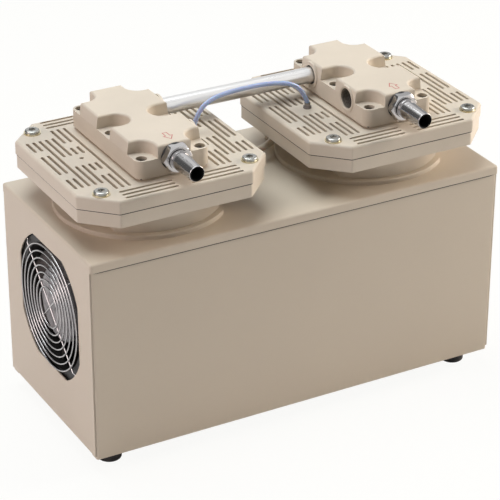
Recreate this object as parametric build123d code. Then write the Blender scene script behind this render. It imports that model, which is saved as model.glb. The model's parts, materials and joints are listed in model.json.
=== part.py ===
from build123d import *
import math
import os

# Twin-head diaphragm vacuum pump.
# X runs along the cabinet, Y across it (the hose nipples point to -Y), Z up.
# The origin is on the floor, midway between the four feet.  Lengths are in mm.

# ---------------------------------------------------------------- cabinet
ground_clearance = 21.0     # floor to the underside of the panels
cabinet_depth = 239.8       # over the front and rear panels
cabinet_height = 254.1      # underside of the panels to the top of the lid
sheet = 1.5                 # thickness of the folded sheets
panel_bend = 2.5            # outer bend radius of the panels
lid_bend = 3.0              # outer bend radius of the cover
panel_flange = 14.0         # turned-in edge of a panel
panel_clearance = 0.3       # between a panel's edge and the cover's side wall
lip_height = 10.7           # front and rear lips of the lid
lip_gap = 0.5               # between a lip and the panel behind it
side_setback = 1.3          # cover's side wall edge, in from the panel's face
side_lift = 4.0             # cover's side wall edge, up from the panel's edge
tray_thickness = 2.0
tray_edge_height = 18.0
tray_clearance = 0.2
vent_length = 90.0
vent_width = 5.0
vent_pitch = 13.0
vent_count = 9
cover_screw_spacing = 180.0
cover_screw_rise = 4.6      # lower edge of the lip to the screws
cover_screw_radius = 2.5
cover_screw_head_radius = 4.0
cover_screw_head_height = 2.4
cover_screw_head_edge = 1.0
cover_screw_socket = 3.0
cover_screw_grip = 6.0      # thread behind the rear panel's face
cover_spacer_radius = 3.5

# ---------------------------------------------------------------- feet
foot_inset_x = 31.8         # side wall to the middle of a foot
foot_inset_y = 31.4         # panel's face to the middle of a foot
foot_radius = 14.5
foot_edge = 2.0
foot_screw_radius = 2.5
foot_screw_head_radius = 4.5
foot_screw_head_height = 3.0
foot_screw_head_edge = 0.6
foot_screw_socket = 3.0
foot_screw_grip = 3.0       # thread above the tray's floor
foot_recess_radius = 6.5
foot_recess_depth = 8.0

# ---------------------------------------------------------------- cooling fan
fan_height = 167.0          # floor to the fan's axis
fan_shift = -4.0            # fan's axis, from the cabinet's middle plane
fan_depth = 50.0
fan_crankcase_gap = 5.85    # fan to the left crankcase
fan_hole_spacing = 138.5
fan_hole_margin = 10.75     # holes to the frame's edges
fan_hole_radius = 2.4
fan_bore_margin = 3.0       # bore to the frame's edges
fan_corner_radius = 5.0
fan_flange = 4.0
fan_wall = 2.4
fan_opening_margin = 9.93   # screw holes to the round opening
fan_opening_flat = 1.5      # opening's flats, inside the frame's top and bottom
fan_tip_gap = 1.8
fan_hub_radius = 45.0
fan_hub_length = 34.0
fan_hub_inset = 6.0         # hub's outer face behind the frame's outer face
fan_blade_count = 7
fan_blade_pitch = 38.0      # degrees
fan_blade_thickness = 2.4
fan_axle_radius = 4.0
fan_hub_wall = 3.0
fan_hub_face = 4.0
fan_axle_start = 2.0        # axle's outer end, behind the hub's face
fan_axle_gap = 1.0          # axle's inner end, short of the frame's inner face
fan_blade_inset = 1.0       # blades, in from the hub's two ends
fan_blade_reach = 30.0      # half the length a blade is cut from
fan_blade_root = 4.0        # how far a blade runs into the hub
fan_strut_width = 7.0
fan_motor_radius = 36.0
fan_seat_length = 10.0
fan_stud_radius = 2.0
fan_stud_reach = 5.0        # past the frame's flange
fan_nut_flats = 7.0
fan_nut_width = 3.2
guard_wire_radius = 1.0
guard_ring_count = 7
guard_ring_first = 25.0
guard_ring_margin = 1.9     # last ring, inside the opening's flats
guard_proud = 0.8           # ring centres stand out of the side wall by this
guard_bend_inset = 5.0      # from the opening's edge, where the spokes dip behind the wall
guard_bend_run = 3.0
guard_weld = 0.4            # rings and spokes sink into each other
guard_eye_radius = 6.0
guard_eye_gap = 5.0         # a spoke's end, short of the screw hole's middle

# ---------------------------------------------------------------- heads
head_spacing = 297.5        # between the two head axes
head_size = 240.0
head_chamfer = 36.5
head_corner_radius = 4.0
housing_inset = 1.0         # lower layer, in from the upper one
seam_height = 1.0           # groove round the top of the lower layer
seam_depth = 2.0
pedestal_height = 35.4      # lid to the underside of a head
housing_thickness = 17.5
cover_thickness = 16.0
cover_edge_radius = 3.5
chamber_radius = 76.0
chamber_depth = 7.5
diaphragm_radius = 88.0
diaphragm_thickness = 3.0
head_bolt_offset = 93.35
head_bolt_radius = 5.0
head_bolt_reach = 12.0      # thread engaged in the housing
bolt_head_radius = 8.7
bolt_head_height = 3.5
bolt_head_edge = 1.8
bolt_socket = 7.6
socket_floor = 0.3          # share of a screw head left under its socket
washer_radius = 10.0
washer_thickness = 1.4
tapping_offset = 72.0       # small tapped holes beside a block
tapping_shift = 3.0
tapping_radius = 2.6
tapping_depth = 6.0

# Cooling slots of a head cover: distances from the head's axis.
slot_width = 3.8
slot_depth = 7.0
slot_pitch = 8.0
slot_column_first = 55.5
slot_spans_long = ((-89.0, 89.0),)
slot_spans_tapped = ((48.7, 89.0), (14.5, 34.2))
slot_spans_split = ((14.5, 68.5),)
slot_spans_plain = ((-68.5, 68.5),)
slot_spans_outer = ((41.5, 68.5),)
slot_spans_middle = ((-26.8, 26.8),)
slot_row_first = 98.0
slot_row_pitch = 8.3
slot_row_count = 3
slot_row_span = (8.0, 74.0)

# ---------------------------------------------------------------- port blocks
valve_plate_thickness = 4.0
valve_plate_inset = 4.0
valve_hole_radius = 2.0
valve_hole_offset = 4.6     # four holes round each gallery's axis
valve_flap_thickness = 1.2
block_width = 92.0
block_length = 177.0
block_corner_radius = 10.0
block_draft = 2.0           # the deck is this much narrower on each side
block_edge_radius = 2.8
shelf_rise = 21.0           # valve plate to the screw shelves
deck_rise = 15.4            # shelves to the deck
pocket_radius = 16.5
corner_pocket_width = 25.5
corner_pocket_length = 26.0
mid_pocket_radius = 16.9
mid_pocket_width = 33.0
mid_pocket_flat = 0.2       # straight part between the two quarter circles
block_screw_inset_x = 9.5   # block's sides to the screws
block_screw_inset_y = 9.0   # block's ends to the outer screws
block_screw_radius = 3.0
block_screw_head_radius = 5.0
block_screw_head_height = 6.0
block_screw_head_edge = 0.6
block_screw_socket = 5.0
block_screw_reach = 7.0
counterbore_radius = 6.4
counterbore_depth = 9.0

# ---------------------------------------------------------------- pipework
port_offset = 42.5          # threaded port, to the front of the head's axis
socket_offset = 40.5        # tube socket, to the rear of it
port_rise = 20.0            # valve plate to the port axes
port_thread_radius = 12.3
port_thread_depth = 22.0
port_chamfer = 1.2
port_rim_radius = 16.0
port_rim_height = 0.6
gallery_radius = 8.0
socket_radius = 11.8
socket_depth = 20.0
socket_boss_radius = 16.2
socket_boss_height = 1.0
socket_boss_edge = 0.6
tube_radius = 10.0
tube_wall = 1.5
tube_insertion = 16.0
seal_depth = 3.0
seal_recess = 2.5
nipple_ring_radius = 16.6
nipple_ring_width = 2.5
nipple_hex_flats = 32.0
nipple_hex_width = 9.6
nipple_groove_radius = 10.8
nipple_groove_width = 1.2
nipple_shoulder_radius = 12.3
nipple_shoulder_width = 3.6
nipple_root_radius = 11.1
nipple_tip_radius = 9.3
nipple_tip_edge = 0.5
nipple_length = 54.5        # block face to the nipple's tip
nipple_bore_radius = 8.0
nipple_thread_radius = 10.0
nipple_thread_length = 16.0

# ---------------------------------------------------------------- small hoses
blue_hose_radius = 2.75
blue_hose_route = (         # between the two fittings, left to right
    (-72.8, 3.4, 364.5), (-61.5, 4.4, 377.2), (-43.0, 6.0, 383.2), (-17.0, 7.4, 384.8),
    (13.0, 8.0, 384.8), (40.0, 7.2, 382.4), (60.0, 6.0, 376.5), (72.0, 4.6, 364.5),
)
bend_share = 0.45           # of the shorter run beside a bend, used by its arc
fitting_flange_radius = 5.0
fitting_flange_height = 2.2
fitting_body_radius = 3.6
fitting_height = 7.0        # cover to the end of the hose
balance_hose_radius = 4.2
balance_hose_rise = 15.9    # lid to the hose's centre line
balance_hose_route = (      # right half, from the fitting to the middle
    (70.5, 66.5), (60.0, 53.5), (50.0, 41.5), (36.0, 31.0), (17.0, 25.5),
)
balance_stub_length = 3.0
balance_fitting_x = 72.0
balance_fitting_y = 82.0
balance_fitting_radius = 6.5
balance_fitting_cap = 3.0
balance_fitting_edge = 2.0
balance_fitting_depth = 8.0
balance_flange_radius = 8.0
balance_flange_height = 3.0

# ---------------------------------------------------------------- drive
shaft_height = 120.0        # floor to the shaft's axis
shaft_radius = 12.5
crank_throw = 4.0
eccentric_radius = 24.0
eccentric_width = 24.0
running_clearance = 0.05
crankcase_radius = 88.0
crankcase_half_width = 63.5
crankcase_wall = 8.0
crankcase_base_thickness = 8.0
crankcase_base_x = 78.0     # half sizes of the base flange
crankcase_base_y = 82.0
mount_height = 20.0
mount_radius = 14.0
mount_offset_x = 66.0
mount_offset_y = 72.0
mount_bolt_radius = 4.0
mount_bolt_flats = 11.0
mount_bolt_head = 5.0
boss_radius = 34.0
bearing_radius = 26.0
bearing_width = 16.0
bore_clearance = 2.0        # round the shaft where nothing touches it
collar_radius = 96.0
collar_flat = 67.0          # flats on the -X and +X sides of a pedestal
collar_flange_radius = 103.5
collar_flange_height = 5.5
collar_flange_edge = 1.5
collar_clearance = 0.5
counterweight_radius = 50.0
counterweight_width = 10.0
counterweight_hub = 6.0     # its wall round the shaft
shaft_end_gap = 1.0         # shaft's end, inside the outermost bearing
rod_width = 20.0
rod_eye_radius = 38.0
rod_shank_width = 30.0
rod_shank_thickness = 14.0
rod_flange_radius = 46.0
rod_flange_thickness = 6.0
rod_bearing_wall = 4.0
clamp_disc_radius = 44.0
clamp_disc_thickness = 2.5
clamp_disc_edge = 1.2
clamp_screw_radius = 5.0
clamp_screw_length = 22.0
motor_radius = 72.0
motor_wall = 6.0
motor_end_gap = 8.0         # motor to the crankcase's base flange
end_shield_thickness = 8.0
motor_gap = 0.5             # rotor to stator
rotor_radius = 39.5
rotor_overhang = 2.0        # past the stator at each end
stator_length = 60.0
winding_length = 14.0
winding_inner = 44.0
winding_outer = 62.0
winding_edge = 3.0
bracket_length = 80.0
bracket_width = 100.0
capacitor_radius = 20.0
capacitor_length = 90.0
capacitor_gap = 8.4         # to the front panel
capacitor_edge = 1.5

# ---------------------------------------------------------------- rear fittings
switch_inset = 130.0        # panel's right end to the switch
switch_height = 75.0
switch_pocket_width = 18.0
switch_pocket_height = 24.6
switch_body_wall = 2.0
switch_bezel_width = 26.0
switch_bezel_height = 34.0
switch_bezel_thickness = 2.0
switch_bezel_corner = 2.0
switch_depth = 18.0
rocker_width = 17.0
rocker_height = 21.0
rocker_front = 8.5          # pivot to the rocker's face
rocker_back = 6.5
rocker_tilt = 8.0           # degrees, at rest
rocker_pin_radius = 1.5
rocker_edge = 1.5
rocker_pivot_inset = 5.0
gland_inset = 70.0          # panel's right end to the gland
gland_height = 75.0
gland_bore = 4.5
gland_thread_radius = 8.0
gland_nut_flats = 22.0
gland_nut_width = 9.0
gland_lock_nut_width = 5.0
gland_dome_inset = 1.0
gland_dome_height = 8.0
gland_dome_edge = 4.0
gland_inside = 12.0

# ---------------------------------------------------------------- fits
hole_clearance = 0.4        # round a screw or a pipe in a plain hole
thread_gap = 0.02           # modelled gap round an engaged thread

# ---------------------------------------------------------------- levels and places
tray_bottom = ground_clearance + sheet
tray_top = tray_bottom + tray_thickness
lid_top = ground_clearance + cabinet_height
lid_under = lid_top - sheet
lip_bottom = lid_top - lip_height
head_x = head_spacing / 2
fan_face = -(head_x + crankcase_half_width + fan_crankcase_gap + fan_depth)
fan_back = fan_face + fan_depth
wall_inner = -fan_face + 2 * guard_wire_radius + tray_clearance
wall_outer = wall_inner + sheet
cabinet_length = 2 * wall_outer
panel_end = wall_inner - panel_clearance
panel_face = cabinet_depth / 2
panel_back = panel_face - sheet
lip_face = panel_face + lip_gap + sheet
side_edge = panel_face - side_setback
foot_x = wall_outer - foot_inset_x
foot_y = panel_face - foot_inset_y
housing_bottom = lid_top + pedestal_height
parting = housing_bottom + housing_thickness
cover_top = parting + cover_thickness
block_bottom = cover_top + valve_plate_thickness
shelf = block_bottom + shelf_rise
deck = shelf + deck_rise
port_height = block_bottom + port_rise
block_side = block_width / 2
block_front = block_length / 2
block_screw_x = block_side - block_screw_inset_x
block_screw_y = block_front - block_screw_inset_y
pocket_inner = block_side - corner_pocket_width
pocket_start = block_front - corner_pocket_length
mid_pocket_inner = block_side - mid_pocket_width
base_bottom = tray_top + mount_height
base_top = base_bottom + crankcase_base_thickness
crankcase_floor = base_top + crankcase_wall
motor_end = head_x - crankcase_base_x - motor_end_gap
bearing_outer_face = crankcase_half_width - crankcase_wall
bearing_inner_face = bearing_outer_face - bearing_width
fan_size = fan_hole_spacing + 2 * fan_hole_margin
fan_bore_radius = fan_size / 2 - fan_bore_margin
fan_opening_radius = fan_hole_spacing / math.sqrt(2) - fan_opening_margin
fan_opening_height = fan_size - 2 * fan_opening_flat
fan_axis = (fan_shift, fan_height)
shaft_axis = (0.0, shaft_height)
port_axis = (-port_offset, port_height)
socket_axis = (socket_offset, port_height)
gallery_places = ((0, -port_offset), (0, socket_offset))
switch_x = panel_end - switch_inset
gland_x = panel_end - gland_inset
rocker_pivot = (panel_face - rocker_pivot_inset, switch_height)
both_ends = (-1, 1)


# ---------------------------------------------------------------- shapes
def box_between(x, y, z):
    """Box that fills three spans, each given as (low, high)."""
    spans = (x, y, z)
    sizes = [high - low for low, high in spans]
    middle = [(low + high) / 2 for low, high in spans]
    return Pos(*middle) * Box(*sizes)


def bar_x(radius, x, at=(0, 0)):
    """Round bar along X; at is its (y, z)."""
    middle = (x[0] + x[1]) / 2
    return Pos(middle, at[0], at[1]) * Rot(0, 90, 0) * Cylinder(radius, x[1] - x[0])


def bar_y(radius, y, at=(0, 0)):
    """Round bar along Y; at is its (x, z)."""
    middle = (y[0] + y[1]) / 2
    return Pos(at[0], middle, at[1]) * Rot(90, 0, 0) * Cylinder(radius, y[1] - y[0])


def bar_z(radius, z, at=(0, 0)):
    """Round bar along Z; at is its (x, y)."""
    middle = (z[0] + z[1]) / 2
    return Pos(at[0], at[1], middle) * Cylinder(radius, z[1] - z[0])


def prism(outline, z):
    """Flat outline extruded along Z over the span z."""
    return Pos(0, 0, z[0]) * extrude(outline, z[1] - z[0])


def hexagon(flats, height):
    """Hexagonal bar along Z, standing on the origin."""
    return extrude(RegularPolygon(flats / math.sqrt(3), 6), height)


def mirrored_pair(shape):
    """The shape and its mirror image across the plane x = 0."""
    return [shape, mirror(shape, about=Plane.YZ)]


def four_places(x, y):
    """Corner positions of a rectangle with half sizes x and y."""
    return [(sx * x, sy * y) for sx in both_ends for sy in both_ends]


def turned_hexagon(flats, height):
    """Hexagonal bar along Z whose upper corners are turned off at 30 degrees."""
    corner = flats / math.sqrt(3)
    face = 0.95 * flats / 2
    fall = (corner - face) * math.tan(math.radians(30))
    limit = bar_z(corner, (0, height - fall))
    limit += Pos(0, 0, height - fall / 2) * Cone(corner, face, fall)
    return hexagon(flats, height) & limit


def at_fan(shape):
    """Moves a shape built round the X axis to the fan's axis."""
    return Pos(0, fan_shift, fan_height) * shape


def fan_hole_places():
    """Positions (y, z) of the fan's four holes, from its axis."""
    return four_places(fan_hole_spacing / 2, fan_hole_spacing / 2)


def screw(head_radius, head_height, shank_radius, shank_length, socket, edge):
    """Socket screw along Z: the head sits on the origin and the shank hangs below."""
    head = bar_z(head_radius, (0, head_height))
    head = fillet(head.edges().group_by(Axis.Z)[-1], edge)
    recess = Pos(0, 0, head_height * socket_floor) * hexagon(socket, head_height)
    return head + bar_z(shank_radius, (-shank_length, 0)) - recess


# ---------------------------------------------------------------- cabinet
def make_base_tray():
    """Folded floor tray that lies on the panels' bottom flanges and carries everything."""
    end = panel_end - sheet - tray_clearance
    side = panel_back - tray_clearance
    top = tray_top + tray_edge_height
    tray = box_between((-end, end), (-side, side), (tray_bottom, top))
    tray = fillet(tray.edges().filter_by(Axis.Z), panel_bend)
    end_inside = end - tray_thickness
    side_inside = side - tray_thickness
    tray -= box_between((-end_inside, end_inside), (-side_inside, side_inside), (tray_top, top))
    for x, y in four_places(foot_x, foot_y):
        tray -= bar_z(foot_screw_radius + thread_gap, (tray_bottom, tray_top), (x, y))
    for head in both_ends:
        for x, y in four_places(mount_offset_x, mount_offset_y):
            place = (head * head_x + x, y)
            tray -= bar_z(mount_bolt_radius + hole_clearance, (tray_bottom, tray_top), place)
    return tray


def make_plain_panel():
    """Folded front panel: a face with four edges turned in, open to the rear."""
    inside_depth = panel_face - panel_flange
    panel = box_between((-panel_end, panel_end), (-panel_face, -inside_depth),
                        (ground_clearance, lid_under))
    inner_end = panel_end - sheet
    hollow = box_between((-inner_end, inner_end), (-panel_back, -inside_depth),
                         (tray_bottom, lid_under - sheet))
    upright = panel.edges().filter_by(Axis.Z).group_by(Axis.Y)[0]
    panel = fillet(upright, panel_bend)
    upright = hollow.edges().filter_by(Axis.Z).group_by(Axis.Y)[0]
    hollow = fillet(upright, panel_bend - sheet)
    return panel - hollow


def make_rear_panel():
    """The same folded panel turned round, with holes for the gland, switch and screws."""
    panel = mirror(make_plain_panel(), about=Plane.XZ)
    body_x = switch_pocket_width / 2 + switch_body_wall + hole_clearance
    body_z = switch_pocket_height / 2 + switch_body_wall + hole_clearance
    through = (panel_back - sheet, panel_face + sheet)
    panel -= box_between((switch_x - body_x, switch_x + body_x), through,
                         (switch_height - body_z, switch_height + body_z))
    panel -= bar_y(gland_thread_radius + hole_clearance, through, (gland_x, gland_height))
    for place in cover_screw_places():
        panel -= bar_y(cover_screw_radius + thread_gap, through, place)
    return panel


def cover_screw_places():
    """Positions (x, z) of the screws in the rear lip."""
    places = (-cover_screw_spacing, 0, cover_screw_spacing)
    return [(x, lip_bottom + cover_screw_rise) for x in places]


def fan_opening():
    """Round opening with four flats in the cover's left wall."""
    span = (-wall_outer - sheet, -wall_inner + sheet)
    half_width = fan_size / 2
    half_height = fan_opening_height / 2
    square = box_between(span, (fan_shift - half_width, fan_shift + half_width),
                         (fan_height - half_height, fan_height + half_height))
    return bar_x(fan_opening_radius, span, fan_axis) & square


def crankcase_outline(radius, half_width):
    """Circle cut by two flats that face -X and +X."""
    return Circle(radius) & Rectangle(2 * half_width, 4 * radius)


def make_cabinet_cover():
    """Lid and both side walls folded from one sheet, with a lip along the front and rear."""
    bottom = ground_clearance + side_lift
    cover = box_between((-wall_outer, wall_outer), (-lip_face, lip_face), (bottom, lid_top))
    cover = fillet(cover.edges().filter_by(Axis.Z), lid_bend)
    cover = fillet(cover.faces().sort_by(Axis.Z)[-1].edges(), lid_bend)
    lip_back = lip_face - sheet
    hollow = box_between((-wall_inner, wall_inner), (-lip_back, lip_back), (bottom, lid_under))
    hollow = fillet(hollow.edges().filter_by(Axis.Z), lid_bend - sheet)
    cover -= hollow
    for side in both_ends:
        beyond = sorted((side * side_edge, side * (lip_face + sheet)))
        cover -= box_between((-cabinet_length, cabinet_length), beyond, (0, lip_bottom))
    neck = crankcase_outline(crankcase_radius + collar_clearance,
                             crankcase_half_width + collar_clearance)
    for head in both_ends:
        cover -= Pos(head * head_x, 0, 0) * prism(neck, (lid_under - sheet, lid_top + sheet))
        place = balance_fitting_place(head)
        cover -= bar_z(balance_fitting_radius + hole_clearance,
                       (lid_under - sheet, lid_top + sheet), place)
    cover -= fan_opening()
    for number in range(vent_count):
        z = fan_height + (number - (vent_count - 1) / 2) * vent_pitch
        slot = extrude(Plane.YZ * SlotOverall(vent_length, vent_width), 2 * sheet)
        cover -= Pos(wall_inner - sheet / 2, 0, z) * slot
    for place in cover_screw_places():
        cover -= bar_y(cover_screw_radius + hole_clearance,
                       (lip_back - sheet, lip_face + sheet), place)
    return cover


def make_cover_screws():
    """Three button screws with a spacer behind the lip."""
    reach = lip_gap + sheet + cover_screw_grip
    shape = screw(cover_screw_head_radius, cover_screw_head_height, cover_screw_radius, reach,
                  cover_screw_socket, cover_screw_head_edge)
    spacer = bar_z(cover_spacer_radius, (-sheet - lip_gap, -sheet))
    shape = Rot(-90, 0, 0) * (shape + spacer)
    return [Pos(x, lip_face, z) * shape for x, z in cover_screw_places()]


def make_rubber_feet():
    """Four plain rubber feet with a recess for the screw's head."""
    foot = bar_z(foot_radius, (0, tray_bottom))
    foot = fillet(foot.edges().group_by(Axis.Z)[0], foot_edge)
    foot -= bar_z(foot_recess_radius, (0, foot_recess_depth))
    foot -= bar_z(foot_screw_radius + thread_gap, (0, tray_bottom))
    places = four_places(foot_x, foot_y)
    panel_edge = panel_face - panel_flange
    cut = box_between((-cabinet_length, cabinet_length), (panel_edge, cabinet_depth),
                      (ground_clearance, tray_bottom))
    cuts = cut + mirror(cut, about=Plane.XZ)
    return [(Pos(x, y, 0) * foot) - cuts for x, y in places]


def make_foot_screws():
    """Screws that hold the feet to the tray from below."""
    reach = tray_top - foot_recess_depth + foot_screw_grip
    shape = screw(foot_screw_head_radius, foot_screw_head_height, foot_screw_radius, reach,
                  foot_screw_socket, foot_screw_head_edge)
    shape = Pos(0, 0, foot_recess_depth) * Rot(180, 0, 0) * shape
    return [Pos(x, y, 0) * shape for x, y in four_places(foot_x, foot_y)]


# ---------------------------------------------------------------- crankcases
def make_crankcase():
    """Casting of the right-hand head: base flange, upright neck and two bearing bosses."""
    case = box_between((-crankcase_base_x, crankcase_base_x),
                       (-crankcase_base_y, crankcase_base_y), (base_bottom, base_top))
    case = fillet(case.edges().filter_by(Axis.Z), block_corner_radius)
    neck = crankcase_outline(crankcase_radius, crankcase_half_width)
    case += prism(neck, (base_top, housing_bottom))
    inside = crankcase_outline(crankcase_radius - crankcase_wall,
                               crankcase_half_width - crankcase_wall)
    case -= prism(inside, (crankcase_floor, housing_bottom))
    for side in both_ends:
        boss = sorted((side * bearing_inner_face, side * crankcase_half_width))
        case += bar_x(boss_radius, boss, shaft_axis)
    # The outer boss carries the shaft on to the motor's end shield.
    case += bar_x(boss_radius, (motor_end - head_x, -crankcase_half_width), shaft_axis)
    seat = bearing_radius + thread_gap
    case -= bar_x(seat, (-bearing_outer_face, bearing_outer_face), shaft_axis)
    case -= bar_x(shaft_radius + bore_clearance, (motor_end - head_x, 0), shaft_axis)
    for x, y in four_places(mount_offset_x, mount_offset_y):
        case -= bar_z(mount_bolt_radius + hole_clearance, (base_bottom, base_top), (x, y))
    return case


def make_vibration_mounts():
    """Rubber mounts between the tray and the crankcases."""
    mount = bar_z(mount_radius, (tray_top, base_bottom))
    mount -= bar_z(mount_bolt_radius + hole_clearance, (tray_top, base_bottom))
    places = four_places(mount_offset_x, mount_offset_y)
    return [Pos(head * head_x + x, y, 0) * mount for head in both_ends for x, y in places]


def make_mount_bolts():
    """Hexagon bolts through the mounts, with a nut under the tray."""
    low = tray_bottom - mount_bolt_head
    head = turned_hexagon(mount_bolt_flats, mount_bolt_head)
    bolt = bar_z(mount_bolt_radius, (low, base_top))
    bolt += Pos(0, 0, base_top) * head
    bolt += Pos(0, 0, tray_bottom) * mirror(head, about=Plane.XY)
    places = four_places(mount_offset_x, mount_offset_y)
    return [Pos(head * head_x + x, y, 0) * bolt for head in both_ends for x, y in places]


def make_pedestal():
    """Collar that closes the gap between the lid and a head, with two flats."""
    flange_top = lid_top + collar_flange_height
    collar = bar_z(collar_flange_radius, (lid_top, flange_top))
    collar = fillet(collar.edges().group_by(Axis.Z)[-1], collar_flange_edge)
    beyond = 2 * collar_flange_radius
    collar -= box_between((collar_flat, beyond), (-beyond, beyond), (lid_top, flange_top))
    body = prism(crankcase_outline(collar_radius, collar_flat), (flange_top, housing_bottom))
    neck = crankcase_outline(crankcase_radius + collar_clearance,
                             crankcase_half_width + collar_clearance)
    return collar + body - prism(neck, (lid_top, housing_bottom))


# ---------------------------------------------------------------- heads
def head_outline(inset=0.0):
    """Square with four cut corners, softly rounded."""
    half = head_size / 2 - inset
    cut = half - head_chamfer
    corners = [(half, -cut), (half, cut), (cut, half), (-cut, half),
               (-half, cut), (-half, -cut), (-cut, -half), (cut, -half)]
    outline = Polygon(*corners, align=None)
    return fillet(outline.vertices(), head_corner_radius)


def make_head_housing():
    """Lower layer of a head: clamps the diaphragm's rim from below."""
    housing = prism(head_outline(housing_inset), (housing_bottom, parting))
    housing -= bar_z(chamber_radius, (housing_bottom, parting))
    housing -= bar_z(diaphragm_radius, (parting - diaphragm_thickness, parting))
    for x, y in four_places(head_bolt_offset, head_bolt_offset):
        housing -= bar_z(head_bolt_radius + thread_gap, (parting - head_bolt_reach, parting), (x, y))
    seam = head_outline() - head_outline(housing_inset + seam_depth)
    return housing - prism(seam, (parting - seam_height, parting))


def both_halves(spans):
    """The spans and their mirror images about zero."""
    return tuple(spans) + tuple((-high, -low) for low, high in spans)


def slot_columns():
    """Spans along Y of every column of slots, from the block outwards."""
    tapped = both_halves(slot_spans_tapped)
    split = both_halves(slot_spans_split)
    outer = slot_spans_middle + both_halves(slot_spans_outer)
    return [slot_spans_long, tapped, tapped, split, split, slot_spans_plain, outer, outer]


def slot_outlines():
    """Every cooling slot of one head cover, as flat outlines."""
    outlines = []
    for number, spans in enumerate(slot_columns()):
        x = slot_column_first + number * slot_pitch
        for low, high in spans:
            slot = Rot(0, 0, 90) * SlotOverall(high - low, slot_width)
            for side in both_ends:
                outlines.append(Pos(side * x, (low + high) / 2, 0) * slot)
    low, high = slot_row_span
    row_slot = SlotOverall(high - low, slot_width)
    for number in range(slot_row_count):
        y = slot_row_first + number * slot_row_pitch
        for sx, sy in four_places(1, 1):
            outlines.append(Pos(sx * (low + high) / 2, sy * y, 0) * row_slot)
    return outlines


def make_head_cover():
    """Upper layer of a head, with cooling slots and the pumping chamber under it."""
    cover = prism(head_outline(), (parting, cover_top))
    cover = fillet(cover.faces().sort_by(Axis.Z)[-1].edges(), cover_edge_radius)
    slots = [prism(outline, (cover_top - slot_depth, cover_top)) for outline in slot_outlines()]
    cover -= slots
    cover -= bar_z(chamber_radius, (parting, parting + chamber_depth))
    for x, y in four_places(head_bolt_offset, head_bolt_offset):
        cover -= bar_z(head_bolt_radius + hole_clearance, (parting, cover_top), (x, y))
    for side in both_ends:
        cover -= bar_z(tapping_radius, (cover_top - tapping_depth, cover_top),
                       (side * tapping_offset, tapping_shift))
    for place in gallery_places:
        cover -= bar_z(gallery_radius, (parting, cover_top), place)
    for x, y in block_screw_places():
        cover -= bar_z(block_screw_radius + thread_gap,
                       (cover_top - block_screw_reach, cover_top), (x, y))
    return cover


def make_head_washers():
    """Washers under the head bolts."""
    washer = bar_z(washer_radius, (cover_top, cover_top + washer_thickness))
    washer -= bar_z(head_bolt_radius + hole_clearance, (cover_top, cover_top + washer_thickness))
    places = four_places(head_bolt_offset, head_bolt_offset)
    return [Pos(head * head_x + x, y, 0) * washer for head in both_ends for x, y in places]


def make_head_bolts():
    """Button-head bolts that clamp the two layers of a head."""
    seat = cover_top + washer_thickness
    length = seat - parting + head_bolt_reach
    bolt = screw(bolt_head_radius, bolt_head_height, head_bolt_radius, length,
                 bolt_socket, bolt_head_edge)
    places = four_places(head_bolt_offset, head_bolt_offset)
    return [Pos(head * head_x + x, y, seat) * bolt for head in both_ends for x, y in places]


# ---------------------------------------------------------------- port blocks
def block_screw_places():
    """Positions of the six block screws about the head's axis."""
    rows = (-block_screw_y, 0, block_screw_y)
    return [(side * block_screw_x, y) for side in both_ends for y in rows]


def make_valve_plate():
    """Flat plate between a head cover and its port block, with two valve seats."""
    outline = RectangleRounded(block_width - 2 * valve_plate_inset,
                               block_length - 2 * valve_plate_inset, block_corner_radius)
    plate = prism(outline, (cover_top, block_bottom))
    hole = bar_z(valve_hole_radius, (cover_top, block_bottom), (valve_hole_offset, 0))
    for x, y in gallery_places:
        for turn in range(0, 360, 90):
            plate -= Pos(x, y, 0) * Rot(0, 0, turn) * hole
    for x, y in block_screw_places():
        plate -= bar_z(block_screw_radius + hole_clearance, (cover_top, block_bottom), (x, y))
    return plate


def make_valve_flaps():
    """Two round valve flaps for each head: one above its seat and one below."""
    flap_radius = gallery_radius - 2 * hole_clearance
    front, rear = gallery_places
    upper = bar_z(flap_radius, (block_bottom, block_bottom + valve_flap_thickness), front)
    lower = bar_z(flap_radius, (cover_top - valve_flap_thickness, cover_top), rear)
    return [Pos(head * head_x, 0, 0) * flap for head in both_ends for flap in (upper, lower)]


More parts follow.
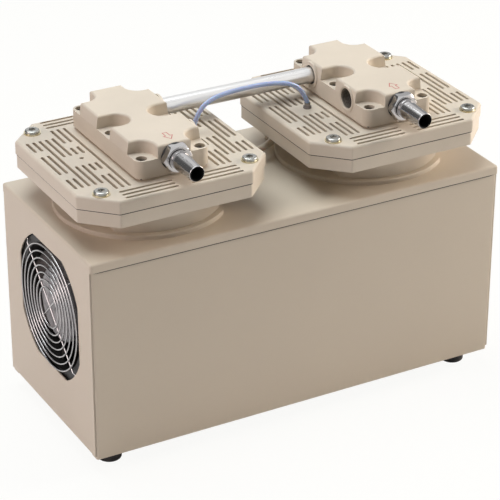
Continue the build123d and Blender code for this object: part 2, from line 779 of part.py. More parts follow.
def make_port_block():
    """Port block of the right-hand head; its ports face -X and its hose nipple -Y."""
    half_deck = block_side - block_draft
    profile = Polygon((-block_side, block_bottom), (block_side, block_bottom),
                      (block_side, shelf), (half_deck, deck), (-half_deck, deck),
                      (-block_side, shelf), align=None)
    upright = Plane(origin=(0, block_front, 0), x_dir=(1, 0, 0), z_dir=(0, -1, 0))
    block = extrude(upright * profile, block_length)
    tall = prism(RectangleRounded(block_width, block_length, block_corner_radius),
                 (block_bottom, deck))
    block &= tall
    above = (shelf, deck + sheet)
    far = 4 * pocket_radius
    corner = RectangleRounded(far, far, pocket_radius)
    for sx, sy in four_places(1, 1):
        place = Pos(sx * (pocket_inner + far / 2), sy * (pocket_start + far / 2), 0)
        block -= place * prism(corner, above)
    mid = RectangleRounded(far, 2 * mid_pocket_radius + mid_pocket_flat, mid_pocket_radius)
    for side in both_ends:
        block -= Pos(side * (mid_pocket_inner + far / 2), 0, 0) * prism(mid, above)
    block = fillet(block.faces().sort_by(Axis.Z)[-1].edges(), block_edge_radius)
    # Ports: a threaded one at the front and a tube socket behind it, both facing -X.
    block += bar_x(port_rim_radius, (-block_side - port_rim_height, -half_deck), port_axis)
    boss = bar_x(socket_boss_radius, (-block_side - socket_boss_height, -half_deck), socket_axis)
    boss = fillet(boss.edges().group_by(Axis.X)[0], socket_boss_edge)
    block += boss
    rim_face = -block_side - port_rim_height
    boss_face = -block_side - socket_boss_height
    block -= bar_x(port_thread_radius, (rim_face, rim_face + port_thread_depth), port_axis)
    mouth = Cone(port_thread_radius + port_chamfer, port_thread_radius, port_chamfer)
    block -= Pos(rim_face + port_chamfer / 2, *port_axis) * Rot(0, 90, 0) * mouth
    block -= bar_x(gallery_radius, (rim_face, gallery_radius), port_axis)
    block -= bar_x(socket_radius, (boss_face, boss_face + seal_depth + seal_recess), socket_axis)
    block -= bar_x(tube_radius + hole_clearance, (boss_face, boss_face + socket_depth), socket_axis)
    block -= bar_x(gallery_radius, (boss_face, gallery_radius), socket_axis)
    # Nipple hole in the front face, running back to the front gallery.
    nipple_axis = (0, port_height)
    threaded = (-block_front, -block_front + nipple_thread_length)
    block -= bar_y(nipple_thread_radius + thread_gap, threaded, nipple_axis)
    block -= bar_y(nipple_bore_radius, (-block_front, -port_offset), nipple_axis)
    for place in gallery_places:
        block -= bar_z(gallery_radius, (block_bottom, port_height), place)
    for x, y in block_screw_places():
        block -= bar_z(block_screw_radius + hole_clearance, (block_bottom, shelf), (x, y))
        block -= bar_z(counterbore_radius, (shelf - counterbore_depth, shelf), (x, y))
    return block


def make_block_screws():
    """Socket screws in the counterbores of the shelves."""
    seat = shelf - counterbore_depth
    length = seat - cover_top + block_screw_reach
    shape = screw(block_screw_head_radius, block_screw_head_height, block_screw_radius,
                  length, block_screw_socket, block_screw_head_edge)
    places = block_screw_places()
    return [Pos(head * head_x + x, y, seat) * shape for head in both_ends for x, y in places]


def make_connecting_tube():
    """Straight tube that joins the two blocks at the rear."""
    reach = head_x - block_side - socket_boss_height + tube_insertion
    tube = bar_x(tube_radius, (-reach, reach), socket_axis)
    return tube - bar_x(tube_radius - tube_wall, (-reach, reach), socket_axis)


def make_tube_seals():
    """Black seal rings where the tube enters the blocks."""
    face = head_x - block_side - socket_boss_height
    start = face + seal_recess
    ring = bar_x(socket_radius, (start, start + seal_depth), socket_axis)
    ring -= bar_x(tube_radius, (start, start + seal_depth), socket_axis)
    return mirrored_pair(ring)


def make_hose_nipple():
    """Hose nipple of a head: thread, hexagon, groove, shoulder and a smooth taper."""
    hex_start = nipple_ring_width
    hex_end = hex_start + nipple_hex_width
    groove_end = hex_end + nipple_groove_width
    shoulder_end = groove_end + nipple_shoulder_width
    body = bar_z(nipple_thread_radius, (-nipple_thread_length, hex_start))
    body += Pos(0, 0, hex_start) * turned_hexagon(nipple_hex_flats, nipple_hex_width)
    body += bar_z(nipple_groove_radius, (hex_end, groove_end))
    body += bar_z(nipple_shoulder_radius, (groove_end, shoulder_end))
    taper = nipple_length - shoulder_end
    cone = Cone(nipple_root_radius, nipple_tip_radius, taper)
    cone = fillet(cone.edges().group_by(Axis.Z)[-1], nipple_tip_edge)
    body += Pos(0, 0, shoulder_end + taper / 2) * cone
    body = body - bar_z(nipple_bore_radius, (-nipple_thread_length, nipple_length))
    return Pos(0, -block_front, port_height) * Rot(90, 0, 0) * body


def make_nipple_rings():
    """Black sealing rings under the nipples' hexagons."""
    axis = (0, port_height)
    span = (-block_front - nipple_ring_width, -block_front)
    ring = bar_y(nipple_ring_radius, span, axis) - bar_y(nipple_thread_radius + thread_gap, span, axis)
    return [Pos(head * head_x, 0, 0) * ring for head in both_ends]


# ---------------------------------------------------------------- small hoses
def hose_end(side):
    """Where the blue hose meets the fitting of the left (-1) or right (+1) head."""
    return (side * (head_x - tapping_offset), tapping_shift, cover_top + fitting_height)


def make_hose_fittings():
    """Push-in fittings screwed into the head covers."""
    flange_top = cover_top + fitting_flange_height
    fitting = bar_z(fitting_flange_radius, (cover_top, flange_top))
    fitting += bar_z(fitting_body_radius, (flange_top, cover_top + fitting_height))
    fitting += bar_z(tapping_radius - thread_gap, (cover_top - tapping_depth, cover_top))
    places = [(hose_end(side)[0], hose_end(side)[1]) for side in both_ends]
    return [Pos(x, y, 0) * fitting for x, y in places]


def hose_along(points, radius):
    """Rod of straight runs joined by large arcs; each radius follows its shorter run."""
    vectors = [Vector(*point) for point in points]
    runs = [end - start for start, end in zip(vectors, vectors[1:])]
    radii = []
    for before, after in zip(runs, runs[1:]):
        turn = math.radians(before.get_angle(after))
        radii.append(bend_share * min(before.length, after.length) / math.tan(turn / 2))
    path = FilletPolyline(*points, radius=radii)
    print("bend radii:", [round(value, 1) for value in radii])
    start = Plane(origin=path @ 0, z_dir=path % 0)
    rod = sweep(start * Circle(radius), path=path)
    area = math.pi * radius ** 2
    print("volume against section times length:", round(rod.volume / (area * path.length), 5))
    return rod


def make_blue_hose():
    """Soft hose that arches from one head's fitting to the other's."""
    return hose_along([hose_end(-1), *blue_hose_route, hose_end(1)], blue_hose_radius)


def balance_fitting_place(side):
    """Where a balance hose fitting stands on the lid."""
    return (side * balance_fitting_x, balance_fitting_y)


def make_balance_fittings():
    """Elbow posts that pass through the lid and hold the balance hose's ends."""
    top = lid_top + balance_hose_rise + balance_hose_radius + balance_fitting_cap
    post = bar_z(balance_fitting_radius, (lid_under - balance_fitting_depth, top))
    post = fillet(post.edges().group_by(Axis.Z)[-1], balance_fitting_edge)
    post += bar_z(balance_flange_radius, (lid_top, lid_top + balance_flange_height))
    post += bar_y(balance_hose_radius, (-balance_fitting_radius - balance_stub_length, 0),
                  (0, lid_top + balance_hose_rise))
    posts = []
    for side in both_ends:
        x, y = balance_fitting_place(side)
        posts.append(Pos(x, y, 0) * post)
    return posts


def balance_hose_end(side):
    """Where the balance hose meets the stub of a fitting."""
    x, y = balance_fitting_place(side)
    stub_end = y - balance_fitting_radius - balance_stub_length
    return (x, stub_end, lid_top + balance_hose_rise)


def make_balance_hose():
    """Pale hose that dips towards the front between the two heads."""
    z = lid_top + balance_hose_rise
    right = [balance_hose_end(1)] + [(x, y, z) for x, y in balance_hose_route]
    left = [(-x, y, z) for x, y, z in right]
    return hose_along(left + right[::-1], balance_hose_radius)


# ---------------------------------------------------------------- motor
def make_motor_housing():
    """Motor tube between the two crankcases."""
    end = motor_end - end_shield_thickness
    tube = bar_x(motor_radius, (-end, end), shaft_axis)
    return tube - bar_x(motor_radius - motor_wall, (-end, end), shaft_axis)


def make_motor_end_shields():
    """Discs that close the motor tube and meet the crankcases' bosses."""
    start = motor_end - end_shield_thickness
    shield = bar_x(motor_radius, (start, motor_end), shaft_axis)
    shield -= bar_x(shaft_radius + bore_clearance, (start, motor_end), shaft_axis)
    return mirrored_pair(shield)


def make_stator_core():
    """Ring of laminations inside the motor tube."""
    half = stator_length / 2
    core = bar_x(motor_radius - motor_wall, (-half, half), shaft_axis)
    return core - bar_x(rotor_radius + motor_gap, (-half, half), shaft_axis)


def make_stator_windings():
    """Copper end turns on both sides of the core."""
    start = stator_length / 2
    coil = bar_x(winding_outer, (start, start + winding_length), shaft_axis)
    coil -= bar_x(winding_inner, (start, start + winding_length), shaft_axis)
    coil = fillet(coil.edges().group_by(Axis.X)[-1], winding_edge)
    return mirrored_pair(coil)


def make_motor_bracket():
    """Saddle that carries the motor on the tray."""
    half = bracket_length / 2
    side = bracket_width / 2
    top = shaft_height - motor_radius / 2
    saddle = box_between((-half, half), (-side, side), (tray_top, top))
    saddle -= bar_x(motor_radius, (-half, half), shaft_axis)
    arch = bar_x(motor_radius / 4, (-half, half), (0, tray_top))
    return saddle - arch


def make_capacitor():
    """Motor capacitor lying on the tray."""
    half = capacitor_length / 2
    y = -panel_back + capacitor_gap + capacitor_radius
    can = bar_x(capacitor_radius, (-half, half), (y, tray_top + capacitor_radius))
    return fillet(can.edges(), capacitor_edge)


def make_shaft_bearings():
    """Four sealed bearings, one in each boss."""
    bearing = bar_x(bearing_radius, (bearing_inner_face, bearing_outer_face), shaft_axis)
    bore = shaft_radius + running_clearance
    bearing -= bar_x(bore, (bearing_inner_face, bearing_outer_face), shaft_axis)
    pair = mirrored_pair(bearing)
    return [Pos(head * head_x, 0, 0) * shape for head in both_ends for shape in pair]


# ---------------------------------------------------------------- moving parts
def crank_axis(side):
    """Centre (y, z) of an eccentric at rest: the left one is down and the right one up."""
    return (0.0, shaft_height + side * crank_throw)


def make_drive_shaft():
    """Shaft through motor and crankcases, with an eccentric under each head."""
    end = head_x + bearing_outer_face - shaft_end_gap
    shaft = bar_x(shaft_radius, (-end, end), shaft_axis)
    half = eccentric_width / 2
    for side in both_ends:
        x = side * head_x
        shaft += bar_x(eccentric_radius, (x - half, x + half), crank_axis(side))
    return shaft


def make_motor_rotor():
    """Squirrel-cage rotor on the shaft."""
    half = stator_length / 2 + rotor_overhang
    rotor = bar_x(rotor_radius, (-half, half), shaft_axis)
    return rotor - bar_x(shaft_radius, (-half, half), shaft_axis)


def make_counterweights():
    """Half discs opposite each eccentric, one on each side of it."""
    inner = eccentric_width / 2
    weights = []
    for side in both_ends:
        disc = bar_x(counterweight_radius, (inner, inner + counterweight_width), shaft_axis)
        light = sorted((shaft_height, shaft_height + side * 2 * counterweight_radius))
        beyond = (-2 * counterweight_radius, 2 * counterweight_radius)
        disc -= box_between((0, 2 * eccentric_width), beyond, light)
        disc += bar_x(shaft_radius + counterweight_hub, (inner, inner + counterweight_width),
                      shaft_axis)
        disc -= bar_x(shaft_radius, (inner, inner + counterweight_width), shaft_axis)
        weights += [Pos(side * head_x, 0, 0) * shape for shape in mirrored_pair(disc)]
    return weights


def make_rod_bearing(side):
    """Bearing ring in a connecting rod's eye, running on the eccentric."""
    half = rod_width / 2
    x = (side * head_x - half, side * head_x + half)
    ring = bar_x(eccentric_radius + running_clearance + rod_bearing_wall, x, crank_axis(side))
    return ring - bar_x(eccentric_radius + running_clearance, x, crank_axis(side))


def diaphragm_centre_bottom(side):
    """Underside of the middle of a diaphragm at rest."""
    return parting - diaphragm_thickness + side * crank_throw


def make_connecting_rod(side):
    """Eye, shank and round flange that carries the diaphragm."""
    x = side * head_x
    half = rod_width / 2
    top = diaphragm_centre_bottom(side)
    eye = bar_x(rod_eye_radius, (x - half, x + half), crank_axis(side))
    shank = box_between((x - rod_shank_thickness / 2, x + rod_shank_thickness / 2),
                        (-rod_shank_width / 2, rod_shank_width / 2), (shaft_height, top))
    flange = bar_z(rod_flange_radius, (top - rod_flange_thickness, top), (x, 0))
    rod = eye + shank + flange
    seat = eccentric_radius + running_clearance + rod_bearing_wall
    rod -= bar_x(seat, (x - half, x + half), crank_axis(side))
    return rod - bar_z(clamp_screw_radius + thread_gap, (top - clamp_screw_length, top), (x, 0))


def make_clamp_disc(side):
    """Disc and screw that clamp the middle of a diaphragm to its rod."""
    x = side * head_x
    bottom = diaphragm_centre_bottom(side) + diaphragm_thickness
    disc = bar_z(clamp_disc_radius, (bottom, bottom + clamp_disc_thickness), (x, 0))
    disc = fillet(disc.edges().group_by(Axis.Z)[-1], clamp_disc_edge)
    low = bottom - diaphragm_thickness - clamp_screw_length
    return disc + bar_z(clamp_screw_radius, (low, bottom), (x, 0))


def make_diaphragm(side):
    """Flexible disc: a clamped rim, a sloping ring and a clamped middle."""
    rim_low = parting - diaphragm_thickness
    middle_low = diaphragm_centre_bottom(side)
    lift = middle_low - rim_low
    inner = clamp_screw_radius + thread_gap
    corners = [(inner, middle_low), (rod_flange_radius, middle_low),
               (chamber_radius, rim_low), (diaphragm_radius, rim_low),
               (diaphragm_radius, parting), (chamber_radius, parting),
               (rod_flange_radius, parting + lift), (inner, parting + lift)]
    profile = Plane.XZ * Polygon(*corners, align=None)
    return Pos(side * head_x, 0, 0) * revolve(profile, Axis.Z)


# ---------------------------------------------------------------- cooling fan
def make_fan_frame():
    """Square fan frame: two flanges, a round duct, four struts and the motor's hub."""
    half = fan_size / 2
    across = (fan_shift - half, fan_shift + half)
    upright = (fan_height - half, fan_height + half)
    front = box_between((fan_face, fan_face + fan_flange), across, upright)
    rear = box_between((fan_back - fan_flange, fan_back), across, upright)
    front, rear = [fillet(flange.edges().filter_by(Axis.X), fan_corner_radius)
                   for flange in (front, rear)]
    frame = front + rear
    frame += bar_x(fan_bore_radius + fan_wall, (fan_face, fan_back), fan_axis)
    frame -= bar_x(fan_bore_radius, (fan_face, fan_back), fan_axis)
    strut_span = (fan_back - fan_flange, fan_back)
    reach = fan_bore_radius + fan_wall / 2
    strut = box_between(strut_span, (-reach, reach), (-fan_strut_width / 2, fan_strut_width / 2))
    for turn in (45, 135):
        frame += at_fan(Rot(turn, 0, 0) * strut)
    frame += bar_x(fan_motor_radius, strut_span, fan_axis)
    frame += bar_x(2 * fan_axle_radius, (fan_back - fan_seat_length, fan_back), fan_axis)
    frame -= bar_x(fan_axle_radius + running_clearance, (fan_face, fan_back), fan_axis)
    for place in fan_hole_places():
        frame -= at_fan(bar_x(fan_hole_radius, (fan_face, fan_back), place))
    return frame


def make_fan_nuts():
    """Flush studs of the side wall, with the nuts that hold the guard and the fan."""
    nut_face = fan_face + fan_flange
    stud = bar_x(fan_stud_radius, (-wall_inner, nut_face + fan_stud_reach))
    nut = Pos(nut_face, 0, 0) * Rot(0, 90, 0) * turned_hexagon(fan_nut_flats, fan_nut_width)
    return [at_fan(Pos(0, y, z) * (stud + nut)) for y, z in fan_hole_places()]


def make_fan_guard():
    """Wire guard: concentric rings welded to two crossing spokes."""
    ring_x = -wall_outer - guard_proud
    spoke_x = ring_x + 2 * guard_wire_radius - guard_weld
    eye_x = fan_face - guard_wire_radius - tray_clearance / 2
    ring_last = fan_opening_height / 2 - guard_ring_margin
    ring_pitch = (ring_last - guard_ring_first) / (guard_ring_count - 1)
    guard = Torus(ring_last, guard_wire_radius)
    for number in range(guard_ring_count - 1):
        guard += Torus(guard_ring_first + number * ring_pitch, guard_wire_radius)
    guard = Pos(ring_x, 0, 0) * Rot(0, 90, 0) * guard
    bend = fan_opening_radius - guard_bend_inset
    dipped = bend + guard_bend_run
    end = fan_hole_spacing / math.sqrt(2) - guard_eye_gap
    path = Polyline((eye_x, -end, 0), (eye_x, -dipped, 0), (spoke_x, -bend, 0),
                    (spoke_x, bend, 0), (eye_x, dipped, 0), (eye_x, end, 0))
    section = Plane(origin=path @ 0, z_dir=path % 0) * Circle(guard_wire_radius)
    spoke = sweep(section, path=path, transition=Transition.RIGHT)
    eye_span = (eye_x - guard_wire_radius, eye_x + guard_wire_radius)
    eye = bar_x(guard_eye_radius, eye_span) - bar_x(fan_hole_radius, eye_span)
    for turn in (45, 135):
        guard += Rot(turn, 0, 0) * spoke
    for y, z in fan_hole_places():
        guard += Pos(0, y, z) * eye
    return at_fan(guard)


def make_fan_hub():
    """Cup-shaped rotor hub with its axle."""
    start = fan_face + fan_hub_inset
    hub = bar_x(fan_hub_radius, (start, start + fan_hub_length), fan_axis)
    hub = fillet(hub.edges().group_by(Axis.X)[0], fan_hub_face)
    hub -= bar_x(fan_hub_radius - fan_hub_wall, (start + fan_hub_face, start + fan_hub_length),
                 fan_axis)
    return hub + bar_x(fan_axle_radius, (start + fan_axle_start, fan_back - fan_axle_gap),
                       fan_axis)


def make_fan_blades():
    """Pitched blades round the hub."""
    start = fan_face + fan_hub_inset
    middle = start + fan_hub_length / 2
    tip = fan_bore_radius - fan_tip_gap
    span = (start + fan_blade_inset, start + fan_hub_length - fan_blade_inset)
    ring = bar_x(tip, span) - bar_x(fan_hub_radius, span)
    blank = box_between((-fan_blade_reach, fan_blade_reach),
                        (-fan_blade_thickness / 2, fan_blade_thickness / 2),
                        (fan_hub_radius - fan_blade_root, fan_bore_radius))
    blade = Pos(middle, 0, 0) * Rot(0, 0, fan_blade_pitch) * blank
    blade &= ring
    turns = [number * 360 / fan_blade_count for number in range(fan_blade_count)]
    return [at_fan(Rot(turn, 0, 0) * blade) for turn in turns]


# ---------------------------------------------------------------- rear fittings
def make_switch_frame():
    """Bezel and box of the rocker switch, open to the rear."""
    z = switch_height
    bezel_x = switch_bezel_width / 2
    bezel_z = switch_bezel_height / 2
    frame = box_between((switch_x - bezel_x, switch_x + bezel_x),
                        (panel_face, panel_face + switch_bezel_thickness), (z - bezel_z, z + bezel_z))
    frame = fillet(frame.edges().filter_by(Axis.Y), switch_bezel_corner)
    pocket_x = switch_pocket_width / 2
    pocket_z = switch_pocket_height / 2
    body_x = pocket_x + switch_body_wall
    body_z = pocket_z + switch_body_wall
    back = panel_face - switch_depth
    frame += box_between((switch_x - body_x, switch_x + body_x), (back, panel_face),
                         (z - body_z, z + body_z))
    front = panel_face + switch_bezel_thickness
    frame -= box_between((switch_x - pocket_x, switch_x + pocket_x),
                         (back + switch_body_wall, front), (z - pocket_z, z + pocket_z))
    pin_reach = pocket_x + switch_body_wall / 2
    frame -= bar_x(rocker_pin_radius + running_clearance,
                   (switch_x - pin_reach, switch_x + pin_reach), rocker_pivot)
    return frame


def make_rocker():
    """Rocker with its pivot pins."""
    half_x = rocker_width / 2
    half_z = rocker_height / 2
    body = box_between((-half_x, half_x), (-rocker_back, rocker_front), (-half_z, half_z))
    body = fillet(body.edges().filter_by(Axis.X), rocker_edge)
    y, z = rocker_pivot
    body = Pos(switch_x, y, z) * Rot(rocker_tilt, 0, 0) * body
    reach = switch_pocket_width / 2 + switch_body_wall / 2 - running_clearance
    return body + bar_x(rocker_pin_radius, (switch_x - reach, switch_x + reach), rocker_pivot)


def make_cable_gland():
    """Cable gland in the rear panel, empty."""
    inner_end = -sheet - gland_inside
    dome_top = gland_nut_width + gland_dome_height
    gland = bar_z(gland_thread_radius, (inner_end, 0))
    gland += turned_hexagon(gland_nut_flats, gland_nut_width)
    dome = bar_z(gland_nut_flats / 2 - gland_dome_inset, (gland_nut_width, dome_top))
    gland += fillet(dome.edges().group_by(Axis.Z)[-1], gland_dome_edge)
    gland += Pos(0, 0, -sheet - gland_lock_nut_width) * hexagon(gland_nut_flats,
                                                                gland_lock_nut_width)
    gland -= bar_z(gland_bore, (inner_end, dome_top))
    return Pos(gland_x, panel_face, gland_height) * Rot(-90, 0, 0) * gland


# ---------------------------------------------------------------- all parts
def placed(side, shape):
    """Moves a right-hand head's piece to its head; side is -1 or +1."""
    return Pos(side * head_x, 0, 0) * shape


def make_all_parts():
    """Every node's name with its solid or solids."""
    parts = {
        "base_tray": make_base_tray(),
        "front_panel": make_plain_panel(),
        "rear_panel": make_rear_panel(),
        "cabinet_cover": make_cabinet_cover(),
        "cover_screws": make_cover_screws(),
        "rubber_feet": make_rubber_feet(),
        "foot_screws": make_foot_screws(),
        "vibration_mounts": make_vibration_mounts(),
        "mount_bolts": make_mount_bolts(),
        "head_washers": make_head_washers(),
        "head_bolts": make_head_bolts(),
        "valve_flaps": make_valve_flaps(),
        "block_screws": make_block_screws(),
        "connecting_tube": make_connecting_tube(),
        "tube_seals": make_tube_seals(),
        "nipple_rings": make_nipple_rings(),
        "hose_fittings": make_hose_fittings(),
        "blue_hose": make_blue_hose(),
        "balance_hose": make_balance_hose(),
        "balance_fittings": make_balance_fittings(),
        "motor_housing": make_motor_housing(),
        "motor_end_shields": make_motor_end_shields(),
        "stator_core": make_stator_core(),
        "stator_windings": make_stator_windings(),
        "motor_bracket": make_motor_bracket(),
        "capacitor": make_capacitor(),
        "shaft_bearings": make_shaft_bearings(),
        "drive_shaft": make_drive_shaft(),
        "motor_rotor": make_motor_rotor(),
        "counterweights": make_counterweights(),
        "fan_frame": make_fan_frame(),
        "fan_guard": make_fan_guard(),
        "fan_nuts": make_fan_nuts(),
        "fan_hub": make_fan_hub(),
        "fan_blades": make_fan_blades(),
        "cable_gland": make_cable_gland(),
        "switch_frame": make_switch_frame(),
        "rocker": make_rocker(),
    }
    crankcase = make_crankcase()
    pedestal = make_pedestal()
    housing = make_head_housing()
    cover = make_head_cover()
    valve_plate = make_valve_plate()
    block = make_port_block()
    nipple = make_hose_nipple()
    for side, name in ((-1, "left"), (1, "right")):
        facing = crankcase if side > 0 else mirror(crankcase, about=Plane.YZ)
        parts["crankcase_" + name] = placed(side, facing)
        parts["pedestal_" + name] = placed(side, pedestal)
        parts["head_housing_" + name] = placed(side, housing)
        parts["head_cover_" + name] = placed(side, cover)
        parts["valve_plate_" + name] = placed(side, valve_plate)
        facing = block if side > 0 else mirror(block, about=Plane.YZ)
        parts["port_block_" + name] = placed(side, facing)
        parts["hose_nipple_" + name] = placed(side, nipple)
        parts["diaphragm_" + name] = make_diaphragm(side)
        parts["clamp_disc_" + name] = make_clamp_disc(side)
        parts["connecting_rod_" + name] = make_connecting_rod(side)
        parts["rod_bearing_" + name] = make_rod_bearing(side)
    return parts


def main():
    os.makedirs("parts", exist_ok=True)
    for name, shape in make_all_parts().items():
        solids = []
        for piece in shape if isinstance(shape, list) else [shape]:
            solids += piece.solids()
        export_step(Compound(children=solids), os.path.join("parts", name + ".step"))


main()
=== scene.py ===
# %% [markdown]
# # A twin-head diaphragm vacuum pump
# The pump is a painted steel cabinet with two cast heads on its lid.  Everything with a real
# size comes from the CAD frame, so this file adds what the frame has not got: the finish of
# every surface, the soft hose, the fan's curved blades and hub plate, the threads inside the
# ports, black sleeves of painted shade in the nipples, black strips of painted shade under the
# lid's lips, the diaphragms' black rims with painted shade between the heads' layers, and the
# small printed arrows.  All lengths are in metres.

# %% Load the frame
import json
import math

import bmesh
import bpy
import numpy as np
from mathutils import Matrix, Vector


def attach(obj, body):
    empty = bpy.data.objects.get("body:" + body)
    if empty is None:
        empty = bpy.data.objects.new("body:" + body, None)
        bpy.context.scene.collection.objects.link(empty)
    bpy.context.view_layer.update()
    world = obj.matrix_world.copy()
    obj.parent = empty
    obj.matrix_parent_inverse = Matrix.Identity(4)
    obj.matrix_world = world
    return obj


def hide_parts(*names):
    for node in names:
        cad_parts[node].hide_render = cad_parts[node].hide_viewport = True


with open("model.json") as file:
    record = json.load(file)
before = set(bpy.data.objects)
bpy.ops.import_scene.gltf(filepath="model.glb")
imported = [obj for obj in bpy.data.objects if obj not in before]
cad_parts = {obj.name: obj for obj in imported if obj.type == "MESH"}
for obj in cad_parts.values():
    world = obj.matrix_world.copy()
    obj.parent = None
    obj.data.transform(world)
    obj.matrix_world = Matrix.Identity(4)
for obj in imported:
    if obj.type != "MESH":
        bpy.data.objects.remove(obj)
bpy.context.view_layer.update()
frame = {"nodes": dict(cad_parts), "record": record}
nodes = frame["nodes"]
head_x = 0.14875  # from the middle of the cabinet to the middle of each head
print("CAD nodes:", len(nodes))

# %% [markdown]
# ## Camera
# A product picture is taken from some way off with a long lens, so that edges which are
# parallel stay nearly parallel.  The camera could be aimed with a Track To constraint, but a
# direction built from two angles is plainer to read: the heading turns about the upright axis
# and the dip looks down.

# %% Camera
camera_place = Vector((-1.1644, -2.0970, 1.4093))
camera_heading = 1.065
camera_dip = 0.476
camera_roll = 0.002

forward = Vector((
    math.cos(camera_dip) * math.cos(camera_heading),
    math.cos(camera_dip) * math.sin(camera_heading),
    -math.sin(camera_dip),
))
level = Vector((math.sin(camera_heading), -math.cos(camera_heading), 0.0))
upward = level.cross(forward)
right = math.cos(camera_roll) * level + math.sin(camera_roll) * upward
upward = right.cross(forward)

camera_data = bpy.data.cameras.new("studio_camera")
camera_data.lens = 159.68
camera_data.sensor_width = 36.0
camera = bpy.data.objects.new("studio_camera", camera_data)
turn = Matrix((right, upward, -forward)).transposed().to_4x4()
camera.matrix_world = Matrix.Translation(camera_place) @ turn
bpy.context.scene.collection.objects.link(camera)
bpy.context.scene.camera = camera
print("camera stands", round(camera_place.length, 2), "m from the middle of the feet")

# %% [markdown]
# ## Blue hose
# A soft plastic hose joins the two heads.  It could be a mesh tube or a bevelled curve; a
# curve with a round bevel keeps the true length and is easy to reshape, because only the
# points of its control polygon are moved.  The points are those of the CAD route.

# %% Blue hose
hose_radius = 0.00275
hose_route = [
    (-0.07675, 0.0030, 0.3510),
    (-0.0728, 0.0034, 0.3645),
    (-0.0615, 0.0044, 0.3772),
    (-0.0430, 0.0060, 0.3832),
    (-0.0170, 0.0074, 0.3848),
    (0.0130, 0.0080, 0.3848),
    (0.0400, 0.0072, 0.3824),
    (0.0600, 0.0060, 0.3765),
    (0.0720, 0.0046, 0.3645),
    (0.07675, 0.0030, 0.3510),
]


def round_hose(name, route, radius):
    """Smooth open spline through a control polygon, swept with a circle of that radius."""
    data = bpy.data.curves.new(name, "CURVE")
    data.dimensions = "3D"
    data.resolution_u = 16
    data.bevel_depth = radius
    data.bevel_resolution = 6
    data.use_fill_caps = True
    line = data.splines.new("NURBS")
    line.points.add(len(route) - 1)
    line.points.foreach_set("co", np.array([(*point, 1.0) for point in route]).ravel())
    line.order_u = 3
    line.use_endpoint_u = True
    hose = bpy.data.objects.new(name, data)
    bpy.context.scene.collection.objects.link(hose)
    return hose


blue_hose = round_hose("blue_soft_hose", hose_route, hose_radius)
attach(blue_hose, "cabinet")
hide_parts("blue_hose")

# %% [markdown]
# ## Materials
# Paint, rubber and plated steel are told apart by how rough they are and by what their
# surface does at a very small scale.  Image textures could give that, but a few noise nodes
# do it at any distance.  Every pattern reads Object coordinates, so it stays on its piece
# when the piece moves.

# %% A small kit for materials
def finish(name, colour, roughness, metallic=0.0, **sockets):
    """New material; constant values go straight on to the shader's own sockets."""
    material = bpy.data.materials.new(name)
    material.use_nodes = True
    shader = material.node_tree.nodes["Principled BSDF"]
    shader.inputs["Base Color"].default_value = (*colour, 1.0)
    shader.inputs["Roughness"].default_value = roughness
    shader.inputs["Metallic"].default_value = metallic
    for socket, value in sockets.items():
        shader.inputs[socket.replace("_", " ")].default_value = value
    return material


def noise(material, scale, detail=3.0, stretch=(1.0, 1.0, 1.0), roughness=0.55):
    """Noise in object space; stretch gives the relative fineness along X, Y and Z."""
    tree = material.node_tree
    place = tree.nodes.new("ShaderNodeTexCoord")
    mapping = tree.nodes.new("ShaderNodeMapping")
    mapping.inputs["Scale"].default_value = stretch
    texture = tree.nodes.new("ShaderNodeTexNoise")
    texture.inputs["Scale"].default_value = scale
    texture.inputs["Detail"].default_value = detail
    texture.inputs["Roughness"].default_value = roughness
    tree.links.new(place.outputs["Object"], mapping.inputs["Vector"])
    tree.links.new(mapping.outputs["Vector"], texture.inputs["Vector"])
    return texture.outputs["Fac"]


def remap(material, source, low, high):
    """Carries a pattern from 0.3..0.7, where noise mostly lies, to the span low..high."""
    node = material.node_tree.nodes.new("ShaderNodeMapRange")
    node.inputs["From Min"].default_value = 0.3
    node.inputs["From Max"].default_value = 0.7
    node.inputs["To Min"].default_value = low
    node.inputs["To Max"].default_value = high
    material.node_tree.links.new(source, node.inputs["Value"])
    return node.outputs["Result"]


def tint(material, source, dark, light):
    """Base colour between two tones, led by a pattern."""
    node = material.node_tree.nodes.new("ShaderNodeMix")
    node.data_type = "RGBA"
    node.inputs["A"].default_value = (*dark, 1.0)
    node.inputs["B"].default_value = (*light, 1.0)
    shader = material.node_tree.nodes["Principled BSDF"]
    material.node_tree.links.new(remap(material, source, 0.0, 1.0), node.inputs["Factor"])
    material.node_tree.links.new(node.outputs["Result"], shader.inputs["Base Color"])


def gloss(material, source, low, high):
    """Roughness between two values, led by a pattern."""
    shader = material.node_tree.nodes["Principled BSDF"]
    material.node_tree.links.new(remap(material, source, low, high), shader.inputs["Roughness"])


def relief(material, *layers):
    """Bump from one or more (pattern, height in metres) layers, one on top of the other."""
    tree = material.node_tree
    below = None
    for source, height in layers:
        bump = tree.nodes.new("ShaderNodeBump")
        bump.inputs["Strength"].default_value = 1.0
        bump.inputs["Distance"].default_value = height
        tree.links.new(source, bump.inputs["Height"])
        if below is not None:
            tree.links.new(below, bump.inputs["Normal"])
        below = bump.outputs["Normal"]
    shader = tree.nodes["Principled BSDF"]
    tree.links.new(below, shader.inputs["Normal"])


def shade(colour, factor):
    """The same hue, lighter or darker."""
    return tuple(channel * factor for channel in colour)


# %% [markdown]
# ## Paint
# The cabinet's sheets are powder coated: the powder melts into a skin with a very fine
# orange-peel ripple.  The castings wear the same beige over a coarser, slightly sandy skin.
# One material for both would look the same from far away, but close up the castings need
# their own grain, so there are two.

# %% Paint for sheets and castings
beige = (0.655, 0.575, 0.470)

sheet_paint = finish("powder_coat_beige", beige, 0.42, Specular_IOR_Level=0.45)
tint(sheet_paint, noise(sheet_paint, 3.2, 4.0), shade(beige, 0.975), shade(beige, 1.02))
gloss(sheet_paint, noise(sheet_paint, 9.0, 4.0), 0.38, 0.48)
relief(sheet_paint, (noise(sheet_paint, 420.0, 2.0), 0.00004),
       (noise(sheet_paint, 60.0, 2.0), 0.00003))

